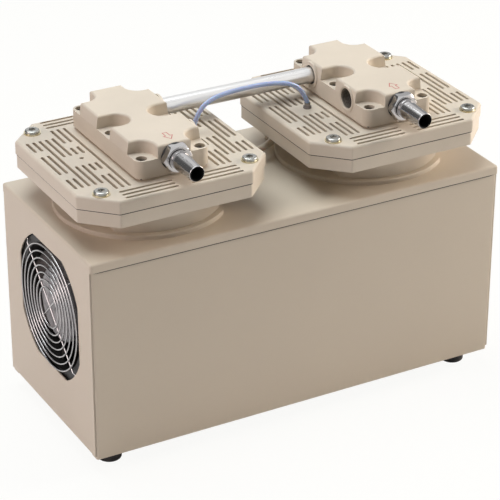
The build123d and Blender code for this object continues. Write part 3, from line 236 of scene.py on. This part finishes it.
cast_beige = (0.675, 0.600, 0.500)
cast_paint = finish("casting_paint_beige", cast_beige, 0.46, Specular_IOR_Level=0.4)
tint(cast_paint, noise(cast_paint, 14.0, 5.0), shade(cast_beige, 0.96), shade(cast_beige, 1.03))
gloss(cast_paint, noise(cast_paint, 25.0, 4.0), 0.42, 0.55)
relief(cast_paint, (noise(cast_paint, 700.0, 3.0), 0.00008),
       (noise(cast_paint, 160.0, 3.0), 0.00012))

# %% [markdown]
# ## Rubber, plastic and hoses
# Moulded rubber is nearly black and scatters light at grazing angles; a little pale dust in
# a noise pattern keeps it from looking like a hole.  The blue hose is soft polyurethane:
# clear enough to let light in, so it gets some subsurface scattering and a clean gloss.

# %% Rubber, plastic and hoses
rubber_black = (0.018, 0.018, 0.019)
rubber = finish("moulded_rubber_black", rubber_black, 0.6, Specular_IOR_Level=0.4)
tint(rubber, noise(rubber, 90.0, 5.0), rubber_black, shade(rubber_black, 2.2))
gloss(rubber, noise(rubber, 140.0, 3.0), 0.5, 0.75)
relief(rubber, (noise(rubber, 1500.0, 2.0), 0.00005))

mount_rubber = finish("mount_rubber_grey", (0.06, 0.06, 0.06), 0.7)
tint(mount_rubber, noise(mount_rubber, 120.0, 4.0), (0.05, 0.05, 0.05), (0.09, 0.088, 0.085))
relief(mount_rubber, (noise(mount_rubber, 1100.0, 2.0), 0.00006))

black_plastic = finish("moulded_plastic_black", (0.022, 0.022, 0.023), 0.38)
gloss(black_plastic, noise(black_plastic, 60.0, 4.0), 0.32, 0.46)
relief(black_plastic, (noise(black_plastic, 2200.0, 2.0), 0.00003))

fan_plastic = finish("fan_blade_plastic", (0.050, 0.043, 0.038), 0.42)
tint(fan_plastic, noise(fan_plastic, 30.0, 3.0), (0.040, 0.034, 0.030), (0.062, 0.054, 0.048))
gloss(fan_plastic, noise(fan_plastic, 40.0, 4.0), 0.28, 0.42)
relief(fan_plastic, (noise(fan_plastic, 900.0, 2.0), 0.00004))

hub_grey = finish("fan_hub_grey", (0.33, 0.335, 0.35), 0.4)
tint(hub_grey, noise(hub_grey, 30.0, 4.0), (0.29, 0.295, 0.31), (0.37, 0.375, 0.39))
relief(hub_grey, (noise(hub_grey, 800.0, 2.0), 0.00004))

fan_black = finish("fan_frame_black_paint", (0.016, 0.016, 0.017), 0.45)
tint(fan_black, noise(fan_black, 45.0, 4.0), (0.008, 0.008, 0.008), (0.018, 0.017, 0.016))
relief(fan_black, (noise(fan_black, 500.0, 3.0), 0.0001))

can_white = finish("capacitor_white", (0.66, 0.65, 0.61), 0.35)
tint(can_white, noise(can_white, 12.0, 3.0), (0.62, 0.61, 0.57), (0.69, 0.68, 0.64))
relief(can_white, (noise(can_white, 700.0, 2.0), 0.00003))

hose_blue = finish("soft_hose_blue", (0.36, 0.46, 0.72), 0.25,
                   Subsurface_Weight=0.35, Subsurface_Scale=0.004)
tint(hose_blue, noise(hose_blue, 35.0, 3.0), (0.32, 0.42, 0.68), (0.42, 0.52, 0.78))
relief(hose_blue, (noise(hose_blue, 260.0, 2.0), 0.00003))

hose_beige = finish("soft_hose_beige", (0.70, 0.625, 0.515), 0.35,
                    Subsurface_Weight=0.15, Subsurface_Scale=0.004)
tint(hose_beige, noise(hose_beige, 40.0, 3.0), (0.66, 0.585, 0.475), (0.74, 0.665, 0.555))
relief(hose_beige, (noise(hose_beige, 300.0, 2.0), 0.00004))

# %% [markdown]
# ## Metals
# The tube is drawn stainless steel, so its scratches run along it; the nipples are bright
# nickel turned on a lathe, so theirs run round.  Zinc-plated washers and screws carry a
# yellow passivation that varies from gold to silver.  The motor's inner parts are rarely
# seen, but they are finished too, because the cabinet may be opened.

# %% Metals
drawn_steel = finish("drawn_stainless", (0.70, 0.695, 0.69), 0.30, 1.0)
gloss(drawn_steel, noise(drawn_steel, 900.0, 3.0, (0.02, 1.0, 1.0)), 0.26, 0.34)
relief(drawn_steel, (noise(drawn_steel, 1200.0, 2.0, (0.015, 1.0, 1.0)), 0.0000015))

nickel = finish("bright_nickel", (0.50, 0.49, 0.49), 0.12, 1.0)
gloss(nickel, noise(nickel, 500.0, 3.0, (0.1, 1.0, 0.1)), 0.07, 0.2)
relief(nickel, (noise(nickel, 1400.0, 2.0, (0.05, 1.0, 0.05)), 0.000008))

guard_wire = finish("plated_guard_wire", (0.48, 0.47, 0.47), 0.2, 1.0)
gloss(guard_wire, noise(guard_wire, 200.0, 3.0), 0.12, 0.28)
relief(guard_wire, (noise(guard_wire, 900.0, 2.0), 0.00001))

zinc = finish("yellow_passivated_zinc", (0.60, 0.52, 0.34), 0.3, 1.0)
tint(zinc, noise(zinc, 160.0, 4.0), (0.55, 0.45, 0.24), (0.66, 0.62, 0.50))
gloss(zinc, noise(zinc, 300.0, 3.0), 0.22, 0.42)
relief(zinc, (noise(zinc, 1600.0, 2.0), 0.00001))

bolt_steel = finish("stainless_bolt", (0.36, 0.36, 0.34), 0.28, 1.0)
gloss(bolt_steel, noise(bolt_steel, 350.0, 3.0), 0.18, 0.36)
relief(bolt_steel, (noise(bolt_steel, 1800.0, 2.0), 0.000012))

turned_steel = finish("turned_steel", (0.52, 0.52, 0.53), 0.3, 1.0)
gloss(turned_steel, noise(turned_steel, 700.0, 3.0, (1.0, 0.06, 0.06)), 0.2, 0.42)
relief(turned_steel, (noise(turned_steel, 1500.0, 2.0, (1.0, 0.05, 0.05)), 0.00001))

raw_casting = finish("raw_aluminium_casting", (0.50, 0.50, 0.50), 0.5, 1.0)
tint(raw_casting, noise(raw_casting, 30.0, 5.0), (0.42, 0.42, 0.43), (0.56, 0.56, 0.55))
relief(raw_casting, (noise(raw_casting, 260.0, 4.0), 0.0003))

motor_paint = finish("motor_enamel_dark", (0.055, 0.065, 0.075), 0.4)
tint(motor_paint, noise(motor_paint, 25.0, 4.0), (0.045, 0.055, 0.065), (0.07, 0.08, 0.09))
relief(motor_paint, (noise(motor_paint, 300.0, 3.0), 0.00015))

laminations = finish("varnished_laminations", (0.16, 0.15, 0.14), 0.4, 0.8)
gloss(laminations, noise(laminations, 2000.0, 1.0, (1.0, 0.01, 0.01)), 0.3, 0.5)
relief(laminations, (noise(laminations, 2000.0, 1.0, (1.0, 0.01, 0.01)), 0.0001))

copper = finish("enamelled_copper", (0.55, 0.22, 0.08), 0.25, 0.9)
tint(copper, noise(copper, 420.0, 2.0, (0.2, 1.0, 1.0)), (0.42, 0.15, 0.05), (0.62, 0.27, 0.1))
relief(copper, (noise(copper, 700.0, 2.0, (0.15, 1.0, 1.0)), 0.0004))

dull_brass = finish("plated_brass_fitting", (0.24, 0.22, 0.22), 0.3, 1.0)
tint(dull_brass, noise(dull_brass, 260.0, 3.0), (0.17, 0.155, 0.15), (0.31, 0.29, 0.29))
relief(dull_brass, (noise(dull_brass, 900.0, 2.0), 0.00002))

bronze = finish("bearing_bronze", (0.55, 0.36, 0.16), 0.3, 1.0)
tint(bronze, noise(bronze, 120.0, 4.0), (0.48, 0.30, 0.13), (0.60, 0.41, 0.20))
relief(bronze, (noise(bronze, 900.0, 3.0), 0.00003))

dark_screw = finish("oiled_socket_screw", (0.20, 0.19, 0.17), 0.32, 1.0)
tint(dark_screw, noise(dark_screw, 220.0, 3.0), (0.13, 0.12, 0.105), (0.27, 0.255, 0.23))
relief(dark_screw, (noise(dark_screw, 1500.0, 2.0), 0.00001))

slot_finishes = {
    "cabinet_sheet": sheet_paint,
    "cast_heads": cast_paint,
    "cast_crankcase": raw_casting,
    "black_rubber": rubber,
    "grey_rubber": mount_rubber,
    "zinc_steel": zinc,
    "stainless": bolt_steel,
    "nickel": nickel,
    "machined_steel": turned_steel,
    "motor_iron": motor_paint,
    "laminations": laminations,
    "copper": copper,
    "fan_plastic": fan_plastic,
    "fan_hub_grey": hub_grey,
    "fan_casting": fan_black,
    "black_plastic": black_plastic,
    "white_plastic": can_white,
    "blue_tubing": hose_blue,
    "beige_tubing": hose_beige,
    "brass_fitting": dull_brass,
    "bearing_bronze": bronze,
}
own_finishes = {
    "balance_fittings": hose_beige,
    "block_screws": dark_screw,
    "connecting_tube": drawn_steel,
    "fan_guard": guard_wire,
}


def dress(piece, material):
    """Gives a piece one material, in place of what it had."""
    piece.data.materials.clear()
    piece.data.materials.append(material)


for entry in frame["record"]["subparts"]:
    name = entry["node"]
    dress(nodes[name], own_finishes.get(name, slot_finishes[entry["material_slot"]]))
dress(blue_hose, hose_blue)
print("materials:", len(bpy.data.materials))

# %% [markdown]
# ## Surfaces from formulas
# A fan blade, a thread or a gasket is a function of two parameters.  They could be modelled
# by hand with modifiers, but a formula on a grid gives the exact shape and can be read again
# later.  The helper turns such a grid into a mesh and closes its seams.

# %% A grid of points becomes a mesh
def surface(name, grids, material, body, wrap_rows=False, wrap_columns=False):
    """Mesh over one or more grids of points (count, rows, columns, 3), wrapped where asked."""
    grids = np.asarray(grids, dtype=float)
    grids = grids[None] if grids.ndim == 3 else grids
    count, rows, columns = grids.shape[:3]
    number = np.arange(count * rows * columns).reshape(count, rows, columns)
    if wrap_rows:
        number = np.concatenate([number, number[:, :1]], axis=1)
    if wrap_columns:
        number = np.concatenate([number, number[:, :, :1]], axis=2)
    corners = (number[:, :-1, :-1], number[:, 1:, :-1], number[:, 1:, 1:], number[:, :-1, 1:])
    quads = np.stack(corners, axis=-1).reshape(-1, 4)
    mesh = bpy.data.meshes.new(name)
    mesh.from_pydata(grids.reshape(-1, 3), [], quads)
    working = bmesh.new()
    working.from_mesh(mesh)
    bmesh.ops.remove_doubles(working, verts=working.verts, dist=2e-6)
    bmesh.ops.recalc_face_normals(working, faces=working.faces)
    working.to_mesh(mesh)
    working.free()
    mesh.polygons.foreach_set("use_smooth", np.ones(len(mesh.polygons), dtype=bool))
    piece = bpy.data.objects.new(name, mesh)
    bpy.context.scene.collection.objects.link(piece)
    dress(piece, material)
    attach(piece, body)
    print(name, "has", len(mesh.polygons), "faces")
    return piece


# %% [markdown]
# ## Fan blades
# A moulded blade is wide and flat at its tip and narrow and steep at the hub, and it is bowed
# so that it scoops the air.  Extruded blades would look like paddles.  Here one blade is a
# grid in two directions, from hub to tip and round its section, and seven turned copies make
# the wheel.

# %% Seven curved blades
fan_y = -0.004
fan_z = 0.167
fan_face_x = -0.2681
hub_front_x = fan_face_x + 0.006
hub_length = 0.034
hub_radius = 0.045
blade_tip = 0.0752
blade_count = 7


def fan_blade(turn):
    """Blade section: an ellipse along the chord, bowed by a parabola; the chord widens and
    lies flatter towards the tip, and the whole section sweeps forward with the radius."""
    share = np.linspace(0.0, 1.0, 18)[:, None]
    around = np.linspace(0.0, 2 * np.pi, 48, endpoint=False)[None, :]
    along = np.cos(around)
    radius = hub_radius - 0.001 + share * (blade_tip - hub_radius + 0.001)
    half_depth = 0.0150 - 0.0030 * share
    half_width = 0.0120 + 0.0085 * share
    half_thickness = (0.0014 - 0.0006 * share) * np.sin(around)
    bow = 0.0035 * (1.0 - along ** 2)
    x = hub_front_x + hub_length / 2 + half_depth * along + 0.6 * half_thickness - 0.5 * bow
    angle = turn + (half_width * along + 0.8 * half_thickness + bow) / radius + 0.16 * share ** 2
    y = fan_y + radius * np.cos(angle)
    z = fan_z + radius * np.sin(angle)
    return np.stack(np.broadcast_arrays(x, y, z), axis=-1)


blade_turns = np.arange(blade_count) * 2 * np.pi / blade_count + 0.35
blades = surface("curved_fan_blades", [fan_blade(turn) for turn in blade_turns], fan_plastic,
                 "fan", wrap_columns=True)
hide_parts("fan_blades")

# %% [markdown]
# ## Plate on the fan's hub
# The motor's rotor is closed by a thin blank metal plate with a turned surface.  It could be a
# part of the hub, but a separate disc keeps its own bright finish and its rounded rim.

# %% Hub plate
def turned_disc(x, centre, radius, thickness, dome):
    """Disc round the X axis: radius and height follow a closed profile with a rounded rim."""
    rim = np.linspace(-np.pi / 2, np.pi / 2, 9)
    front = np.linspace(0.0, 1.0, 14)
    profile_r = np.concatenate([front * (radius - thickness), radius - thickness
                                + thickness * np.cos(rim), front[::-1] * (radius - thickness)])
    profile_x = np.concatenate([-thickness - dome * (1 - front ** 2), thickness * np.sin(rim),
                                np.full(front.size, thickness)])
    around = np.linspace(0.0, 2 * np.pi, 96, endpoint=False)[None, :]
    y = centre[0] + profile_r[:, None] * np.cos(around)
    z = centre[1] + profile_r[:, None] * np.sin(around)
    return np.stack(np.broadcast_arrays(x + profile_x[:, None], y, z), axis=-1)


hub_plate = finish("turned_hub_plate", (0.46, 0.44, 0.45), 0.38, 0.75)
tint(hub_plate, noise(hub_plate, 55.0, 5.0), (0.22, 0.21, 0.22), (0.62, 0.60, 0.61))
gloss(hub_plate, noise(hub_plate, 300.0, 3.0, (1.0, 0.2, 0.2)), 0.28, 0.5)
relief(hub_plate, (noise(hub_plate, 70.0, 4.0), 0.0009))
hub_disc = turned_disc(hub_front_x - 0.0008, (fan_y, fan_z), radius=0.0405, thickness=0.0006,
                       dome=0.0012)
surface("fan_hub_plate", hub_disc, hub_plate, "fan", wrap_columns=True)

# %% [markdown]
# ## Threads in the side ports
# Each side port is tapped for a pipe.  A bump pattern would look right from straight ahead,
# but the far side of the bore is seen at a slant, so the thread is a real helix: its radius
# falls and rises once per turn along the bore.  Both ports have a right-hand thread.

# %% Helical threads
port_y = -0.0425
port_z = 0.368
block_half_width = 0.046
port_rim_depth = 0.0006
port_rim_x = head_x - block_half_width - port_rim_depth
thread_pitch = 0.00231
thread_major_radius = 0.01225
thread_height = 0.0013


def port_thread(side):
    """Bore whose radius is a rounded triangle wave of depth over pitch less turn; side -1 or
    +1 mirrors the place, and the sign of the turn keeps the hand of the helix."""
    depth = np.linspace(0.0013, 0.0205, 150)[:, None]
    around = np.linspace(0.0, 2 * np.pi, 96, endpoint=False)[None, :]
    phase = depth / thread_pitch - side * around / (2 * np.pi)
    wave = np.abs(2.0 * (phase - np.floor(phase)) - 1.0)
    radius = thread_major_radius - thread_height * np.clip(1.15 * wave - 0.05, 0.0, 1.0)
    x = side * (port_rim_x + depth) + 0.0 * around
    y = port_y + radius * np.cos(around)
    z = port_z + radius * np.sin(around)
    return np.stack(np.broadcast_arrays(x, y, z), axis=-1)


# The threads' dark brown tone is painted shade for the inside of the ports.
port_shade_metal = finish("port_thread_painted_shade", (0.13, 0.115, 0.09), 0.38, 0.25)
tint(port_shade_metal, noise(port_shade_metal, 400.0, 3.0), (0.09, 0.078, 0.06), (0.18, 0.16, 0.13))
relief(port_shade_metal, (noise(port_shade_metal, 1500.0, 2.0), 0.00002))
surface("port_threads", [port_thread(-1), port_thread(1)], port_shade_metal, "cabinet",
        wrap_columns=True)

# %% [markdown]
# ## Painted shade in the nipples
# The bore of each nipple looks black, because it is deep and in shade.  A bright bore would
# still mirror the light, so each one gets a thin matt black sleeve of painted shade with a small
# collar over the tip.

# %% Painted shade sleeves in the nipples
nipple_tip_y = -0.143


def shade_sleeve(x_middle):
    """Thin sleeve along Y with a small collar over the nipple's rim: a closed profile of radii,
    turned about the nipple's axis."""
    profile_r = np.array([0.00795, 0.00795, 0.00870, 0.00880, 0.00800, 0.00735, 0.00735,
                          0.00755])
    profile_y = np.array([0.04500, -0.00005, -0.00005, -0.00025, -0.00035, 0.00020, 0.04450,
                          0.04500])
    around = np.linspace(0.0, 2 * np.pi, 64, endpoint=False)[None, :]
    x = x_middle + profile_r[:, None] * np.cos(around)
    z = port_z + profile_r[:, None] * np.sin(around)
    y = nipple_tip_y + profile_y[:, None] + 0.0 * around
    return np.stack(np.broadcast_arrays(x, y, z), axis=-1)


# The sleeve's near-black is painted shade for the deep bore and the nipple's rim.
shade_sleeve_black = finish("bore_shade_sleeve_black", (0.006, 0.006, 0.006), 0.9, Specular_IOR_Level=0.1)
gloss(shade_sleeve_black, noise(shade_sleeve_black, 200.0, 2.0), 0.8, 0.95)
relief(shade_sleeve_black, (noise(shade_sleeve_black, 900.0, 2.0), 0.00002))
surface("nipple_shade_sleeves", [shade_sleeve(-head_x), shade_sleeve(head_x)], shade_sleeve_black, "cabinet",
        wrap_rows=True, wrap_columns=True)

# %% [markdown]
# ## Painted shade under the lid's lips
# The slit between the lid's lips and the panels behind them is in shade; from above it shows
# as a thin dark line.  A thin black strip of painted shade fills the slit and keeps the line
# sharp from every side.

# %% Painted shade strips under the lips
def lip_shade_strip(side):
    """Strip along X with a rounded, nearly rectangular section (a superellipse)."""
    around = np.linspace(0.0, 2 * np.pi, 24, endpoint=False)[None, :]
    soft = 0.45
    across = np.sign(np.cos(around)) * np.abs(np.cos(around)) ** soft
    upright = np.sign(np.sin(around)) * np.abs(np.sin(around)) ** soft
    along = np.linspace(-1.0, 1.0, 60)[:, None]
    taper = np.clip((1.0 - np.abs(along)) * 60.0, 0.0, 1.0) ** 0.5
    x = 0.2690 * along + 0.0 * around
    y = side * (0.12090 + 0.00085 * across * taper)
    z = 0.26385 + 0.00060 * upright * taper
    return np.stack(np.broadcast_arrays(x, y, z), axis=-1)


# Near-black: painted shade under the lips, and the diaphragms' black rims with painted shade
# round the heads.
black_rim_and_shade = finish("black_rim_and_painted_shade", (0.02, 0.018, 0.016), 0.85)
tint(black_rim_and_shade, noise(black_rim_and_shade, 300.0, 3.0), (0.012, 0.011, 0.010), (0.04, 0.036, 0.032))
relief(black_rim_and_shade, (noise(black_rim_and_shade, 1500.0, 2.0), 0.0001))
surface("lip_shade_strips", [lip_shade_strip(-1), lip_shade_strip(1)], black_rim_and_shade, "cabinet",
        wrap_columns=True)

# %% [markdown]
# ## Diaphragm rims and painted shade between the heads' layers
# The diaphragm's black rim and the shade in the groove show as a fine black line all round each
# head, just under the upper layer.  It is a narrow band that follows the octagon and fills the
# groove in the casting: partly the rim's own black, partly painted shade.

# %% Diaphragm rims and painted shade
parting_z = 0.328
half_head = 0.119
cut_corner = 0.0365
corner_round = 0.004


def head_rim_and_shade_band(x_middle):
    """Band round a rounded octagon: eight arcs of points with their outward normals, moved in
    and out along the normals by the six corners of the band's section."""
    flat = half_head - cut_corner
    corners = np.array([(half_head, -flat), (half_head, flat), (flat, half_head),
                        (-flat, half_head), (-half_head, flat), (-half_head, -flat),
                        (-flat, -half_head), (flat, -half_head)])
    bisector = np.radians([-22.5, 22.5, 67.5, 112.5, 157.5, 202.5, 247.5, 292.5])
    to_centre = corner_round / np.cos(np.pi / 8)
    outward = np.stack([np.cos(bisector), np.sin(bisector)], axis=-1)
    centres = corners - to_centre * outward
    fan = np.linspace(-np.pi / 8, np.pi / 8, 7)
    angles = (bisector[:, None] + fan[None, :]).ravel()
    normals = np.stack([np.cos(angles), np.sin(angles)], axis=-1)
    path = np.repeat(centres, fan.size, axis=0) + corner_round * normals
    section = np.array([(0.00010, -0.00150), (0.00010, -0.00005), (-0.0018, -0.00005),
                        (-0.0018, -0.00095), (-0.00004, -0.00095), (-0.00004, -0.00150)])
    x = x_middle + path[None, :, 0] + section[:, 0, None] * normals[None, :, 0]
    y = path[None, :, 1] + section[:, 0, None] * normals[None, :, 1]
    z = parting_z + section[:, 1, None] + 0.0 * x
    return np.stack([x, y, z], axis=-1)


surface("head_rim_and_shade_bands", [head_rim_and_shade_band(-head_x), head_rim_and_shade_band(head_x)], black_rim_and_shade, "cabinet",
        wrap_rows=True, wrap_columns=True)

# %% [markdown]
# ## Printed arrows
# A small red outlined arrow is printed on each block in front of its nipple.  Ink has almost
# no thickness, so each arrow is a flat ribbon that follows seven corners, a twentieth of a
# millimetre above the paint.

# %% Arrows
deck_z = 0.3844
ink_height = 0.00005
ink_half_line = 0.00045


def printed_arrow(x_middle, y_tail, direction):
    """Closed ribbon round an arrow's outline: each corner is repeated at two offsets from the
    outline's middle, and the two rows of points are joined."""
    shape = np.array([(-0.0026, 0.0), (0.0026, 0.0), (0.0026, 0.0090), (0.0056, 0.0090),
                      (0.0, 0.0180), (-0.0056, 0.0090), (-0.0026, 0.0090)])
    before = shape - np.roll(shape, 1, axis=0)
    after = np.roll(shape, -1, axis=0) - shape
    before /= np.linalg.norm(before, axis=1)[:, None]
    after /= np.linalg.norm(after, axis=1)[:, None]
    normal_before = np.stack([before[:, 1], -before[:, 0]], axis=-1)
    normal_after = np.stack([after[:, 1], -after[:, 0]], axis=-1)
    mitre = normal_before + normal_after
    mitre /= (1.0 + np.sum(normal_before * normal_after, axis=1))[:, None]
    edge = ink_half_line * mitre
    rows = np.stack([shape - edge, shape + edge], axis=1)
    x = x_middle + direction * rows[..., 0]
    y = y_tail + direction * rows[..., 1]
    return np.stack([x, y, np.full(x.shape, deck_z + ink_height)], axis=-1)


red_ink = finish("printed_red_ink", (0.45, 0.04, 0.05), 0.5)
tint(red_ink, noise(red_ink, 900.0, 2.0), (0.36, 0.03, 0.04), (0.58, 0.08, 0.08))
relief(red_ink, (noise(red_ink, 1500.0, 2.0), 0.00001))
arrows = [printed_arrow(-0.1468, -0.0600, -1.0), printed_arrow(0.1512, -0.0785, 1.0)]
surface("printed_arrows", arrows, red_ink, "cabinet", wrap_rows=True)

# %% [markdown]
# ## Stage and light
# A pale floor that runs out of sight and a white surround are what such an object is
# pictured on.  Three large lamps do the work: one above and a little in front for the tops, a
# weaker one on the left for the fan's end, and one low on the right for the long front.  The
# surround shines white at whatever looks at it and adds only a little light of its own.

# %% Floor
floor_mesh = bpy.data.meshes.new("studio_floor")
floor_reach = 8.0
floor_glow_share = 0.93
corners = [(-floor_reach, -floor_reach, 0.0), (floor_reach, -floor_reach, 0.0),
           (floor_reach, floor_reach, 0.0), (-floor_reach, floor_reach, 0.0)]
floor_mesh.from_pydata(corners, [], [(0, 1, 2, 3)])
floor = bpy.data.objects.new("studio_floor", floor_mesh)
bpy.context.scene.collection.objects.link(floor)
floor_paint = finish("pale_floor", (0.92, 0.92, 0.92), 0.8)
gloss(floor_paint, noise(floor_paint, 2.0, 2.0), 0.75, 0.85)
tree = floor_paint.node_tree
glow = tree.nodes.new("ShaderNodeEmission")
glow.inputs["Color"].default_value = (1.0, 1.0, 0.985, 1.0)
direct = tree.nodes.new("ShaderNodeLightPath")
share = tree.nodes.new("ShaderNodeMath")
share.operation = "MULTIPLY"
share.inputs[1].default_value = floor_glow_share
blend = tree.nodes.new("ShaderNodeMixShader")
tree.links.new(direct.outputs["Is Camera Ray"], share.inputs[0])
tree.links.new(share.outputs["Value"], blend.inputs["Fac"])
tree.links.new(tree.nodes["Principled BSDF"].outputs["BSDF"], blend.inputs[1])
tree.links.new(glow.outputs["Emission"], blend.inputs[2])
tree.links.new(blend.outputs["Shader"], tree.nodes["Material Output"].inputs["Surface"])
dress(floor, floor_paint)

# %% Lamps
lamps = [
    ("top_lamp", (-0.3, 0.6, 2.6), 1.8, 51.0, (0.93, 0.98, 1.0)),
    ("left_lamp", (-2.6, 0.0, 1.2), 1.4, 25.5, (1.0, 0.83, 0.80)),
    ("right_lamp", (2.8, -0.6, 1.3), 1.6, 93.0, (1.0, 0.90, 0.80)),
]
aim = Vector((0.0, 0.0, 0.25))
for name, place, size, power, colour in lamps:
    data = bpy.data.lights.new(name, "AREA")
    data.size = size
    data.energy = power
    data.color = colour
    lamp = bpy.data.objects.new(name, data)
    toward = (aim - Vector(place)).to_track_quat("-Z", "Y").to_matrix().to_4x4()
    lamp.matrix_world = Matrix.Translation(Vector(place)) @ toward
    bpy.context.scene.collection.objects.link(lamp)

# %% [markdown]
# ## Card for the bright metal
# Polished metal shows only what stands around it.  In an all-white room it would look like
# plain grey paint, so a tall card with soft dark and bright stripes stands behind the pump.
# Only mirror-like rays see it.  It lights nothing else and throws no shadow.

# %% Striped card
card_reach = 3.2
card_steps = 28
card_mesh = bpy.data.meshes.new("striped_card")
card_angle = np.linspace(np.radians(40.0), np.radians(175.0), card_steps)
card_x = card_reach * np.cos(card_angle)
card_y = card_reach * np.sin(card_angle)
card_points = np.concatenate([np.stack([card_x, card_y, np.full(card_steps, height)], axis=-1)
                              for height in (-0.4, 3.4)])
first = np.arange(card_steps - 1)
above = first + card_steps
card_quads = np.stack([first, first + 1, above + 1, above], axis=-1)
card_mesh.from_pydata(card_points, [], card_quads)
card = bpy.data.objects.new("striped_card", card_mesh)
bpy.context.scene.collection.objects.link(card)
card_glow = bpy.data.materials.new("striped_card_glow")
card_glow.use_nodes = True
tree = card_glow.node_tree
tree.nodes.clear()
place = tree.nodes.new("ShaderNodeTexCoord")
split = tree.nodes.new("ShaderNodeSeparateXYZ")
scaled = tree.nodes.new("ShaderNodeMapRange")
scaled.inputs["From Min"].default_value = -card_reach
scaled.inputs["From Max"].default_value = 2.45
ramp = tree.nodes.new("ShaderNodeValToRGB")
stops = [(0.0, 0.10), (0.30, 0.16), (0.38, 0.55), (0.46, 0.60), (0.50, 0.30), (0.60, 0.45),
         (0.68, 1.0), (0.86, 1.0), (0.93, 0.45), (1.0, 0.35)]
while len(ramp.color_ramp.elements) < len(stops):
    ramp.color_ramp.elements.new(0.5)
for element, (position, value) in zip(ramp.color_ramp.elements, stops):
    element.position = position
    element.color = (value, value, value, 1.0)
emission = tree.nodes.new("ShaderNodeEmission")
result = tree.nodes.new("ShaderNodeOutputMaterial")
tree.links.new(place.outputs["Object"], split.inputs["Vector"])
tree.links.new(split.outputs["X"], scaled.inputs["Value"])
tree.links.new(scaled.outputs["Result"], ramp.inputs["Fac"])
tree.links.new(ramp.outputs["Color"], emission.inputs["Color"])
tree.links.new(emission.outputs["Emission"], result.inputs["Surface"])
dress(card, card_glow)
card.visible_camera = False
card.visible_diffuse = False
card.visible_shadow = False
card.visible_transmission = False
card.visible_volume_scatter = False

# %% White surround
world = bpy.data.worlds.new("white_surround")
world.use_nodes = True
surround = world.node_tree
surround.nodes.clear()
lighting = surround.nodes.new("ShaderNodeBackground")
lighting.inputs["Color"].default_value = (1.0, 0.985, 0.96, 1.0)
lighting.inputs["Strength"].default_value = 0.03
backdrop = surround.nodes.new("ShaderNodeBackground")
backdrop.inputs["Color"].default_value = (1.0, 1.0, 1.0, 1.0)
backdrop.inputs["Strength"].default_value = 1.0
seen = surround.nodes.new("ShaderNodeLightPath")
either = surround.nodes.new("ShaderNodeMath")
either.operation = "MAXIMUM"
mirrored = surround.nodes.new("ShaderNodeMath")
mirrored.operation = "MAXIMUM"
mixed = surround.nodes.new("ShaderNodeMixShader")
out = surround.nodes.new("ShaderNodeOutputWorld")
surround.links.new(seen.outputs["Is Glossy Ray"], mirrored.inputs[0])
surround.links.new(seen.outputs["Is Transmission Ray"], mirrored.inputs[1])
surround.links.new(seen.outputs["Is Camera Ray"], either.inputs[0])
surround.links.new(mirrored.outputs["Value"], either.inputs[1])
surround.links.new(either.outputs["Value"], mixed.inputs["Fac"])
surround.links.new(lighting.outputs["Background"], mixed.inputs[1])
surround.links.new(backdrop.outputs["Background"], mixed.inputs[2])
surround.links.new(mixed.outputs["Shader"], out.inputs["Surface"])
bpy.context.scene.world = world
bpy.context.scene.view_settings.view_transform = "Standard"
